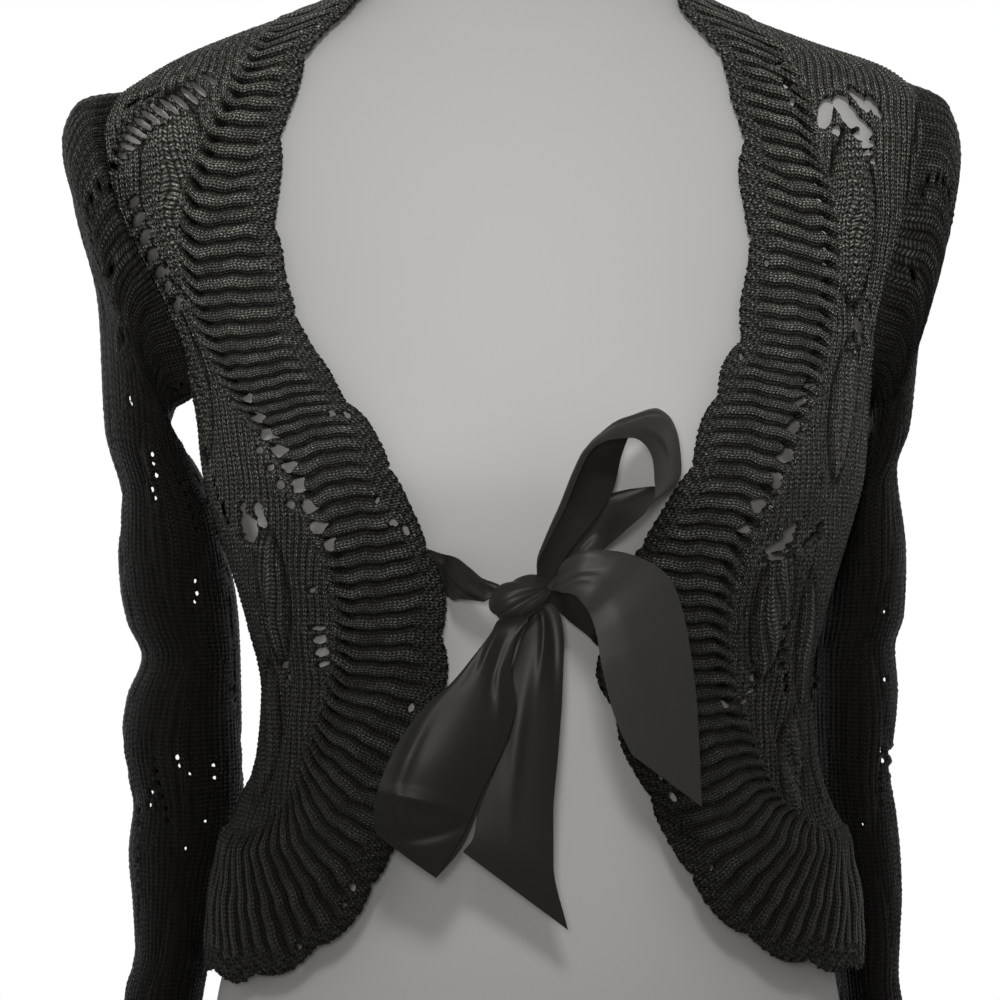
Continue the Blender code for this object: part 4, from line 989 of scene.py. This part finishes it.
sleeveColumns = "outer_x outer_z inner_x inner_z half_depth middle_y"
sleeves = {
    left: table(
        sleeveColumns,
        (0.2175, 0.603, 0.1715, 0.456, 0.04, 0.004), (0.226, 0.583, 0.173, 0.449, 0.044, 0.008),
        (0.2195, 0.552, 0.171, 0.441, 0.047, 0.014), (0.2075, 0.505, 0.165, 0.432, 0.047, 0.022),
        (0.2045, 0.4457, 0.157, 0.418, 0.045, 0.027), (0.1975, 0.413, 0.15, 0.4, 0.043, 0.03),
        (0.1985, 0.387, 0.1455, 0.38, 0.042, 0.03), (0.197, 0.367, 0.1425, 0.364, 0.041, 0.031),
        (0.1935, 0.351, 0.1412, 0.35, 0.04, 0.031), (0.1865, 0.334, 0.1405, 0.334, 0.038, 0.032),
        (0.1944, 0.312, 0.1397, 0.312, 0.04, 0.033), (0.197, 0.294, 0.1388, 0.294, 0.04, 0.034),
        (0.1944, 0.2754, 0.138, 0.2754, 0.039, 0.036), (0.191, 0.2595, 0.139, 0.2595, 0.038, 0.038),
        (0.193, 0.237, 0.142, 0.237, 0.038, 0.04), (0.191, 0.209, 0.149, 0.209, 0.037, 0.041),
        (0.1904, 0.19, 0.152, 0.19, 0.036, 0.041), (0.196, 0.168, 0.157, 0.168, 0.036, 0.04),
        (0.2, 0.13, 0.16, 0.13, 0.036, 0.038), (0.199, 0.08, 0.16, 0.08, 0.035, 0.036),
        (0.202, 0.03, 0.159, 0.03, 0.036, 0.035),
    ),
    right: table(
        sleeveColumns,
        (0.209, 0.607, 0.1695, 0.456, 0.041, 0.004), (0.2155, 0.586, 0.1715, 0.449, 0.045, 0.008),
        (0.2075, 0.545, 0.17, 0.441, 0.048, 0.014), (0.197, 0.497, 0.165, 0.432, 0.048, 0.022),
        (0.1935, 0.4506, 0.16, 0.418, 0.046, 0.027), (0.1875, 0.428, 0.154, 0.404, 0.044, 0.029),
        (0.1925, 0.387, 0.149, 0.38, 0.044, 0.03), (0.1912, 0.354, 0.146, 0.352, 0.043, 0.031),
        (0.187, 0.338, 0.1445, 0.336, 0.041, 0.032), (0.1892, 0.313, 0.144, 0.313, 0.042, 0.033),
        (0.186, 0.274, 0.1465, 0.274, 0.04, 0.036), (0.189, 0.253, 0.149, 0.253, 0.04, 0.038),
        (0.1915, 0.229, 0.153, 0.229, 0.04, 0.04), (0.1925, 0.2056, 0.157, 0.2056, 0.039, 0.041),
        (0.191, 0.174, 0.16, 0.174, 0.038, 0.04), (0.1945, 0.15, 0.162, 0.15, 0.037, 0.039),
        (0.197, 0.09, 0.162, 0.09, 0.037, 0.036), (0.199, 0.03, 0.161, 0.03, 0.037, 0.035),
    ),
}
# Sizes in millimetres. start is where each sleeve's pattern begins, calm lessens the relief of the
# leaves, and below sets the knit's base under the sleeve's outline.
sleeveLook = {
    "step": 1.4,
    "around": 236.0,
    "leaf_wide": 59.0,
    "leaf_tall": 116.0,
    "ladder_start": 60.0,
    "start": {left: 18.0, right: 26.0},
    "calm": 0.8,
    "below": 1.1,
}


# Moves the sleeve's places out of the form and the dressed body.
def keepClear(point):
    height = point[..., 2]
    dressed = byHeight(ease, "side", height) + 0.003 + 0.0025
    gap = np.where(height < hemEdge - 0.012, 0.006, dressed)
    gap = np.where(height > armholes["bottom"], 0.0, gap)
    shift = byHeight(sway, "shift", height)
    sideLine = byHeight(form, "side_line", height)
    ahead = point[..., 1] < sideLine
    depth = np.where(ahead, byHeight(form, "front", height), byHeight(form, "back", height)) + gap
    x = (point[..., 0] - shift) / (byHeight(form, "half_width", height) + gap)
    y = (point[..., 1] - sideLine) / depth
    reach = np.maximum(np.hypot(x, y), 1e-6)
    push = np.where((reach < 1) & (height < armholes["bottom"]), 1 / reach, 1.0)
    moved = point.copy()
    moved[..., 0] = shift + (point[..., 0] - shift) * push
    moved[..., 1] = sideLine + (point[..., 1] - sideLine) * push
    return moved


def sleeveGrid(side):
    rows = sleeves[side]
    count = int(sleeveLook["around"] / (sleeveLook["step"] * coarse))
    turn = np.linspace(0, 2 * math.pi, count + 1)
    angle, height = armhole(side, np.where(turn > math.pi, turn - 2 * math.pi, turn))
    first = clothPoint(side * angle, height, 0.0019)
    zero = 0 * rows["outer_x"]
    outer = np.stack([side * rows["outer_x"], zero, rows["outer_z"]], -1)
    inner = np.stack([side * rows["inner_x"], zero, rows["inner_z"]], -1)
    middle, half = (outer + inner) / 2, (outer - inner) / 2
    middle[:, 1] = rows["middle_y"]
    rings = middle[:, None] + half[:, None] * np.cos(turn)[None, :, None]
    rings[..., 1] -= rows["half_depth"][:, None] * np.sin(turn)[None, :]
    rings = np.concatenate([first[None], keepClear(rings)])
    along = pathLengths(rings)
    stations = np.linspace(0, along[-1], int(1000 * along[-1] / (sleeveLook["step"] * coarse)))
    points = smoothCurve(along, rings, stations)
    points[points[..., 2] < 0.45] = keepClear(points)[points[..., 2] < 0.45]
    return points, turn, stations * 1000


sleeveHoleColumns = "x z wide long tilt"
sleeveHoles = {
    left: table(sleeveHoleColumns, (-0.201, 0.52, 2, 6, 80), (-0.196, 0.49, 2, 7, 82)),
    right: table(sleeveHoleColumns, (0.189, 0.56, 2.2, 6, -70), (0.184, 0.52, 2.2, 7, -75)),
}
# Pin-holes that go through both layers of an empty sleeve. They lie in line with the photo's view:
# the camera's place, and the plane that the holes were measured in.
photoView = {"x": -0.1611, "y": -1.6924, "z": 0.411, "plane": -0.010}
pinHoles = {
    left: table(
        "x z wide",
        (-0.1935, 0.46, 1.6), (-0.1925, 0.457, 1.4), (-0.182, 0.433, 1.8), (-0.1815, 0.4285, 1.6),
        (-0.18, 0.423, 1.9), (-0.1822, 0.416, 1.9), (-0.1805, 0.412, 1.7), (-0.1608, 0.372, 1.8),
        (-0.16, 0.366, 1.8), (-0.1612, 0.362, 1.5), (-0.17, 0.287, 2), (-0.169, 0.283, 1.6),
        (-0.164, 0.279, 1.6), (-0.152, 0.283, 1.6), (-0.1515, 0.277, 1.6), (-0.183, 0.27, 1.7),
        (-0.1838, 0.264, 1.5), (-0.166, 0.243, 1.5), (-0.156, 0.256, 1.5),
    ),
    right: table(
        "x z wide",
        (0.166, 0.418, 1.6), (0.1762, 0.356, 1.4), (0.1765, 0.323, 1.6), (0.1745, 0.288, 1.8),
        (0.179, 0.287, 1.8), (0.1755, 0.283, 1.9), (0.1785, 0.279, 1.7), (0.165, 0.252, 1.5),
    ),
}


def makeSleeve(side, name):
    points, turn, stations = sleeveGrid(side)
    outward = gridNormals(points)
    centre = points.mean(axis=1, keepdims=True)
    flipped = np.sum(outward * (points - centre), axis=-1, keepdims=True)
    outward = np.where(flipped < 0, -outward, outward)
    outward[:, -1] = outward[:, 0]
    u = np.broadcast_to((turn / (2 * math.pi) * sleeveLook["around"])[None, :], points.shape[:2])
    v = np.broadcast_to(stations[:, None], points.shape[:2])
    leaf = sleeveLook["leaf_wide"], sleeveLook["leaf_tall"]
    relief, flow, holes, dome = leafPattern(u, v + sleeveLook["start"][side], *leaf, 2.0, 0.0, 0.2)
    holes = np.where((v > sleeveLook["ladder_start"]) & (np.sin(v / 23 + u / 37) < 0.3), 9.0, holes)
    front = outward[..., 1] < 0.2
    rows = sleeveHoles[side]
    for k in range(len(rows["x"])):
        x, y = 1000 * (points[..., 0] - rows["x"][k]), 1000 * (points[..., 2] - rows["z"][k])
        distance = (np.hypot(*holeAxes(x, y, rows, k)) - 1) * rows["wide"][k] / 2
        holes = np.minimum(holes, np.where(front, distance, 9.0))
    rows = pinHoles[side]
    share = (photoView["plane"] - photoView["y"]) / (points[..., 1] - photoView["y"])
    seenX = photoView["x"] + (points[..., 0] - photoView["x"]) * share
    seenZ = photoView["z"] + (points[..., 2] - photoView["z"]) * share
    for k in range(len(rows["x"])):
        x, y = 1000 * (seenX - rows["x"][k]), 1000 * (seenZ - rows["z"][k])
        holes = np.minimum(holes, np.hypot(x, y * 0.7) - rows["wide"][k] / 2)
    edge = np.minimum(stations, stations[-1] - stations)[:, None]
    holes = np.where(edge < 5, 9.0, holes)
    cuff = smoothStep(30, 18, stations[-1] - stations)[:, None]
    ribs = 1.4 * np.abs(np.cos(math.pi * u / 5.9)) ** 0.8
    relief = sleeveLook["calm"] * relief * (1 - cuff) + ribs * cuff
    relief = seamLevel + (relief + holeRim(holes) - seamLevel) * smoothStep(-1, 5, edge) - sleeveLook["below"]
    swell = sleeveLook["calm"] * dome * (1 - cuff) * smoothStep(-1, 12, edge)
    moved = points + outward * ((relief + swell) / 1000)[..., None]
    print(f"  {name} flat area {gridArea(points):.4f} m2", flush=True)
    # Painted light and shade: raised knit is painted lighter, grooves darker, and the sleeve darker toward
    # the cuff.
    paintedShade = np.clip((relief + sleeveLook["below"]) / 2.0, 0, 1) * byHeight(paintedLightFade, "sleeve", points[..., 2])
    piece = gridMesh(name, moved, np.stack([flow, v, paintedShade], -1), outward, holes / 1000, tube=True)
    return finish(piece, knitLooks["lace_knit"], name)


# The ribbon bow. Each row is a bend: the two edges' places in millimetres, how far the middle stands
# out and how far each edge curls in. The places were picked by eye on the photo with a guessed depth,
# and a scratch program turned them into millimetres.

ribbonColumns = "a_x a_y a_z b_x b_y b_z crown curl_a curl_b"
ribbons = {
    "tie_left": table(
        ribbonColumns,
        (-57, -124.2, 389, -56, -117, 369), (-50.5, -123.6, 386.8, -48.3, -118, 367.6),
        (-44.7, -129, 385.3, -44, -126.5, 364.9, 1, 0, 2),
        (-38.4, -135, 381.3, -37.8, -134, 364.7, 2, 1, 5),
        (-32.3, -138, 377.3, -31.9, -138.5, 363.9, 2, 3, 5),
        (-25.8, -140.5, 374.2, -29.4, -140.5, 365.3, 1, 2, 3),
        (-19.5, -142.1, 369.7, -20.7, -142.1, 366.6),
    ),
    "tie_right": table(
        ribbonColumns,
        (-11.1, -142.1, 368.5, -12, -141.9, 366.5), (-1.9, -140.5, 370.6, -4.3, -140, 365, 0.5),
        (3.8, -138.5, 369.2, 1.6, -138, 360.6, 1), (9.4, -134, 369.6, 7.2, -133.5, 355.9, 1.5),
        (19.1, -127.5, 364.4, 16.5, -124, 349, 1), (25.2, -122, 363, 21.2, -117.6, 344.5),
        (31, -120.9, 361.5, 27, -116.2, 341.5),
    ),
    "loop_up": table(
        ribbonColumns,
        (-14, -144.2, 370.4, -11.5, -143, 369.9), (-10.1, -146.5, 376.1, -3, -143, 374.7, -0.5, 1),
        (-11.3, -154, 384.3, 1.1, -146.5, 381.5, -2, 3), (-8.1, -162, 396, 7.1, -149.5, 390.9, -2.5, 5),
        (-3.6, -170, 410.1, 16.7, -151.5, 403, -2.5, 7), (1.2, -175, 425.1, 24.8, -152, 416.4, -2.5, 8),
        (5.3, -178, 432.5, 28, -151.5, 429.8, -2.5, 7), (11.7, -180, 436.4, 32, -151.5, 440.5, -3, 4),
        (20.4, -180.5, 437.9, 36.5, -152, 448.5, -3.5, 1), (29.3, -180.5, 438.2, 43.1, -152.5, 452.1, -3),
        (35.5, -180, 434.7, 49.9, -152.5, 448.1, -2.5), (38.8, -178.5, 427.7, 54.2, -152, 436.9, -2),
        (39.7, -176.5, 420.2, 55.2, -151.5, 425.3, -1.5), (40.2, -174.5, 413.2, 52.4, -150.5, 417.3, -1),
        (36.6, -172, 405.7, 41.3, -149, 416.1, -1, 0, 3),
        (27.7, -168, 397.3, 26.2, -147.5, 414.1, -1.5, 0, 5),
        (20.5, -150.5, 389.1, 12.4, -146, 408.8, -1.5, 0, 5),
        (12.6, -148.5, 383.3, 5.8, -144.5, 396.2, -1, 0, 2),
        (4.9, -144.5, 377.4, 0.7, -141.5, 380.5, -0.5), (-8.7, -143.5, 370.9, -10.2, -142.5, 371.9),
    ),
    "loop_down": table(
        ribbonColumns,
        (-20, -144.2, 363.6, -12.3, -144.2, 365.6),
        (-27.2, -146.5, 356.7, -5.2, -146.3, 362.5, 0.5, 2, 2),
        (-30.7, -151, 352.2, -12.7, -150, 357, 1.5, 3, 3),
        (-39.5, -154.5, 341.7, -18.8, -152.5, 346.5, 2.5, 3, 3),
        (-49, -157.5, 330.4, -20.7, -154.5, 334.6, 3, 2, 2),
        (-60.7, -159.5, 319.5, -19.6, -156.5, 321.3, 3.5), (-70.1, -161, 307.3, -22.8, -158, 307.2, 3.5),
        (-77.2, -162, 294.2, -29.1, -159, 293.2, 3.5), (-81.6, -162, 281.9, -35.9, -159.5, 280, 3),
        (-83.1, -160.5, 272, -41.1, -159, 267.1, 2), (-81.3, -156.5, 263.3, -55.1, -155.5, 243.4, 0.5),
        (-77.5, -152, 271.2, -43.3, -152, 256.3, -0.3), (-69.9, -150, 291, -33.3, -150, 279.2, -0.3),
        (-58.7, -149, 313.1, -23.4, -149, 306.2, -0.3), (-46.5, -148, 326.3, -22.4, -148, 326.2, -0.3),
        (-32.1, -146.5, 344.9, -18.7, -146.5, 344.9, -0.2), (-24.3, -145, 355.6, -14, -145, 354.6),
        (-19, -143.7, 363.2, -15.4, -143.7, 362.9),
    ),
    "tail_middle": table(
        ribbonColumns,
        (-14.8, -142.3, 364.6, -11, -142.3, 366.3), (-12.3, -141, 359.6, -1.5, -141, 364.3, 0.5),
        (-15.1, -141.8, 351.8, 2.5, -141.8, 356.3, 1), (-18.3, -142.5, 341.6, 3.3, -142.5, 347.3, 1.5),
        (-26.5, -144, 319.7, 2.3, -144, 321.4, 1.5), (-32, -145, 297.5, 0.4, -145, 296.8, 1.2),
        (-35.6, -146, 276.2, -1.8, -146, 270.1, 0.8), (-37.5, -146.5, 261.5, -1.8, -146.5, 247.8, 0.5),
        (-42.4, -146.5, 253.9, 4.8, -145.5, 218.5),
    ),
    "tail_right": table(
        ribbonColumns,
        (-11.2, -143.5, 368.4, -11.3, -144.4, 370.1), (-2.3, -144.5, 370.3, -2.5, -147, 375.2, 0.5, 2, 2),
        (1.5, -151.5, 368.2, 4.3, -150.5, 386, 1.5, 3, 3), (6, -155, 367.8, 14.8, -153, 389.6, 2.5, 2, 2),
        (10.7, -157, 364.3, 28.1, -154, 387.8, 2.5), (13.9, -156.5, 359, 40.8, -153, 383.3, 2.5),
        (16.6, -157, 350.1, 50.2, -153.5, 375.3, 2.5), (18.3, -157, 339, 55.6, -153.5, 361, 2),
        (22, -156, 323.3, 59.4, -152.5, 341.7, 1.5), (26.6, -155, 309.4, 62.4, -150.5, 319.2, 1),
        (32.6, -154, 297.3, 64.9, -148.5, 273.4, 0.3),
    ),
}


# Creases of the satin: place along and across, turn in degrees, then height, reach and breadth in mm.
creases = {
    "tie_left": (
        (0.45, 0.45, 75, 1.6, 14, 1.6),
        (0.55, 0.75, 80, -1.2, 12, 1.5),
        (0.80, 0.30, 85, 1.2, 8, 1.2),
    ),
    "loop_down": (
        (0.10, 0.35, 80, 1.2, 12, 1.6),
        (0.14, 0.65, 84, -1.2, 14, 1.8),
        (0.20, 0.80, 78, 1.0, 16, 2.0),
        (0.40, 0.45, 12, 1.6, 18, 3.0),
        (0.44, 0.30, 70, 1.4, 10, 2.2),
        (0.46, 0.70, -25, -1.2, 14, 2.4),
        (0.30, 0.15, 86, 1.0, 22, 2.6),
    ),
    "tail_middle": (
        (0.16, 0.55, 86, 1.1, 16, 1.7),
        (0.20, 0.80, 84, -0.8, 16, 1.8),
        (0.50, 0.40, 88, 0.6, 30, 3.0),
    ),
    "tail_right": (
        (0.09, 0.45, 84, 1.2, 9, 1.4),
        (0.16, 0.30, 74, 1.6, 12, 2.2),
        (0.22, 0.55, 64, -0.7, 12, 3.2),
        (0.60, 0.35, 86, 0.5, 34, 5.0),
    ),
    "loop_up": (
        (0.14, 0.55, 84, 0.8, 14, 1.8),
        (0.40, 0.45, 60, -1.2, 9, 1.8),
        (0.46, 0.60, 40, 1.0, 9, 2.0),
        (0.53, 0.35, 70, -1.0, 10, 1.8),
        (0.86, 0.40, 84, 1.0, 14, 1.8),
    ),
}


# Painted light and shade on each stretch of the ribbon: how far the light catches it, painted into its
# colour.
ribbonPaintedLight = {
    "tie_left": 0.3,
    "tie_right": 0.3,
    "loop_up": 0.45,
    "loop_down": 0.25,
    "tail_middle": 0.2,
    "tail_right": 0.95,
}


def makeRibbon(name):
    rows = ribbons[name]
    count, across = int(50 * len(rows["a_x"]) ** 0.7 / coarse), 25
    middle = across // 2
    stations = np.linspace(0, len(rows["a_x"]) - 1, count)
    first, second = (
        np.stack([byRow(rows, f"{edge}_{axis}", stations) for axis in "xyz"], -1) / 1000 for edge in "ab"
    )
    share = np.linspace(0, 1, across)[None, :, None]
    points = first[:, None] * (1 - share) + second[:, None] * share
    out = gridNormals(points)
    facing = np.sign(out[8, middle, 1]) if name == "loop_up" else np.sign(out[:, middle, 1].mean())
    out = out * (facing or 1.0)
    crown = byRow(rows, "crown", stations)[:, None] * 4 * share[..., 0] * (1 - share[..., 0]) / 1000
    points = points - out * crown[..., None]
    wide = np.linalg.norm(second - first, axis=-1)
    inward = (second - first) / wide[:, None]
    for column, way, reach in (("curl_a", 1, share), ("curl_b", -1, 1 - share)):
        curl = byRow(rows, column, stations)[:, None, None] / 1000
        bend = curl * (np.clip(1 - reach / 0.3, 0, 1) ** 2 - 0.5 * (1 - reach))
        points = points + way * inward[:, None] * bend
        points = points - out * curl * 0.55 * np.clip(1 - reach / 0.3, 0, 1)
    along = pathLengths(points[:, middle])
    for place, sideways, turn, depth, reach, broad in creases.get(name, ()):
        x = (share[..., 0] - sideways) * wide[:, None]
        y = (along / along[-1] - place)[:, None] * along[-1]
        lean = math.radians(turn)
        lengthwise = x * math.cos(lean) + y * math.sin(lean)
        crosswise = y * math.cos(lean) - x * math.sin(lean)
        dent = np.exp(-((1000 * crosswise / broad) ** 2) - (1000 * lengthwise / reach) ** 2)
        points = points - out * (depth / 1000 * dent)[..., None]
    print(f"  {name} length {along[-1]:.4f} width {wide.mean():.4f} area {gridArea(points):.5f}", flush=True)
    u = 1000 * share[..., 0] * 0.038
    # Each stretch's painted light and shade rides along as the third map.
    uv = np.stack(np.broadcast_arrays(u, 1000 * along[:, None], ribbonPaintedLight[name]), -1)
    piece = gridMesh(name, points, uv, -out)
    return finish(piece, satinLook, name)


knotLook = {
    "middle": (-0.0161, -0.1430, 0.3673),
    "half": (0.0146, 0.0068, 0.0086),
    "tilt": 24.0,
    "fold": 0.0012,
    "paintedShade": 0.4,
}


def roundBall(name, segments, rings):
    bpy.ops.object.select_all(action="DESELECT")
    bpy.ops.mesh.primitive_uv_sphere_add(segments=segments, ring_count=rings, radius=1, location=(0, 0, 0))
    piece = bpy.context.object
    piece.name = name
    ball = np.empty(len(piece.data.vertices) * 3)
    piece.data.vertices.foreach_get("co", ball)
    return piece, ball.reshape(-1, 3)


def moveTo(piece, points):
    piece.data.vertices.foreach_set("co", points.ravel())
    piece.data.update()


def makeKnot():
    piece, ball = roundBall("knot", int(144 / coarse), int(72 / coarse))
    ball = ball[:, [2, 0, 1]]
    swell = 1 + 0.16 * smoothStep(0.3, -0.9, ball[:, 0])
    fan = np.arctan2(ball[:, 2] * 0.6, ball[:, 0] * -1.0 + 1.35)
    folds = np.abs(np.sin(6.5 * fan + 0.5)) ** 0.7 + 0.35 * np.abs(np.sin(13 * fan + 2.0 * ball[:, 1] + 1.1))
    local = ball * np.array(knotLook["half"]) * np.stack([1 + 0 * swell, swell, swell], -1)
    local = local + ball * (knotLook["fold"] * (folds - 0.7))[:, None]
    tilt = math.radians(knotLook["tilt"])
    across = local[:, 0] * math.cos(tilt) - local[:, 2] * math.sin(tilt)
    up = local[:, 0] * math.sin(tilt) + local[:, 2] * math.cos(tilt)
    moveTo(piece, np.stack([across, local[:, 1], up], -1) + np.array(knotLook["middle"]))
    bpy.ops.object.shade_smooth()
    # Painted light and shade: the knot gets one painted tone.
    paintedShade = piece.data.attributes.new("PaintedShade", "FLOAT", "POINT")
    paintedShade.data.foreach_set("value", np.full(len(ball), knotLook["paintedShade"]))
    return finish(piece, satinLook, "knot")


# The form's ends: height, and how far out from the middle its outline stands.
formTop = table(
    "height share",
    (0.7455, 0.993), (0.748, 0.965), (0.7493, 0.92), (0.7495, 0.6), (0.7495, 0),
)


def makeForm():
    top = form["height"][-1]
    rising = np.linspace(0, top, int(190 / coarse))
    heights = np.concatenate([[0, 0, 0], rising, formTop["height"]])
    shares = np.concatenate([[0, 0.6, 0.97], np.ones(len(rising)), formTop["share"]])
    last = len(heights) - 1
    piece, ball = roundBall("dress_form", int(150 / coarse), last)
    ring = last - np.rint(np.arccos(np.clip(ball[:, 2], -1, 1)) / math.pi * last).astype(int)
    angle = np.arctan2(ball[:, 0], -ball[:, 1])
    outline = np.minimum(heights[ring], top)
    points = formPoint(angle, outline)
    middle = (formPoint(0 * angle, outline) + formPoint(0 * angle + math.pi, outline)) / 2
    points = middle + (points - middle) * shares[ring][:, None]
    points[:, 2] = heights[ring]
    moveTo(piece, points)
    bpy.ops.object.shade_smooth_by_angle(angle=math.radians(50))
    return finish(piece, jerseyLook, "dress_form")


formPiece = makeForm()
print("form made", flush=True)
leftFront, rightFront = makeFront(left, "left_front"), makeFront(right, "right_front")
print("fronts made", flush=True)
leftBand, rightBand = makeFrontBand(left, "left_front_band"), makeFrontBand(right, "right_front_band")
neckPiece, hemPiece = makeNeckBand(), makeHemBand()
print("bands made", flush=True)
backPiece = makeBack()
print("back made", flush=True)
leftSleeve, rightSleeve = makeSleeve(left, "left_sleeve"), makeSleeve(right, "right_sleeve")
print("sleeves made", flush=True)
bow = {name: makeRibbon(name) for name in ribbons}
knotPiece = makeKnot()
print("bow made", flush=True)

# The ribbon is 38 mm wide: it is folded at the knot, so less of its width shows there.

print("sheets stated", flush=True)


# Camera, light and floor

view = {"azimuth": 5.0, "distance": 1.70, "height": 0.411, "aside": -0.01296, "lens": 125.09}
turned = math.radians(view["azimuth"])
cameraAcross = Vector((math.cos(turned), -math.sin(turned), 0))
cameraAhead = Vector((math.sin(turned), math.cos(turned), 0))
cameraData = bpy.data.cameras.new("camera")
cameraData.lens = view["lens"]
cameraData.sensor_width = 36
camera = bpy.data.objects.new("camera", cameraData)
bpy.context.collection.objects.link(camera)
raised = Vector((0, 0, view["height"]))
camera.location = cameraAcross * view["aside"] - cameraAhead * view["distance"] + raised
camera.rotation_euler = (math.pi / 2, 0, -turned)
bpy.context.scene.camera = camera

studio = {
    "front": (0.52, 0.515, 0.505),
    "behind": (1.0, 1.0, 1.0),
    "floor": (0.76, 0.76, 0.76),
    "key": {"place": (-0.15, -1.6, 1.35), "target": (0, -0.08, 0.56), "size": 0.30, "power": 1.45},
    "fill": {"place": (-0.22, -1.66, 0.50), "target": (0, -0.08, 0.45), "size": 0.14, "power": 0.7},
    "spread": 38,
}
world = bpy.data.worlds.new("studio")
world.use_nodes = True
sky = world.node_tree
parts = addNode(sky, "SeparateXYZ", {0: addNode(sky, "TexCoord").outputs["Generated"]})
rampInputs = {"Value": parts.outputs[1], "From Min": -0.5, "From Max": 0.6}
ramp = addNode(sky, "MapRange", rampInputs, interpolation_type="SMOOTHSTEP")
backdrop = mixColors(sky, ramp.outputs[0], studio["front"], studio["behind"])
feed(sky, sky.nodes["Background"].inputs["Color"], backdrop)
bpy.context.scene.world = world


def areaLight(name):
    look = studio[name]
    data = bpy.data.lights.new(name, "AREA")
    data.size = look["size"]
    data.energy = look["power"]
    data.spread = math.radians(studio["spread"])
    lamp = bpy.data.objects.new(name, data)
    bpy.context.collection.objects.link(lamp)
    lamp.location = look["place"]
    lamp.rotation_euler = (Vector(look["target"]) - Vector(look["place"])).to_track_quat("-Z", "Y").to_euler()


areaLight("key")
areaLight("fill")

bpy.ops.mesh.primitive_circle_add(vertices=96, radius=1.15, fill_type="NGON", location=(0, 0, 0))
floor = bpy.context.object
floor.name = "floor"
floorLook, floorTree = newMaterial("floor")
setShader(floorTree, {"Base Color": (*studio["floor"], 1), "Roughness": 0.8})
floor.data.materials.append(floorLook)
bpy.context.scene.view_settings.view_transform = "Standard"
print("studio made", flush=True)
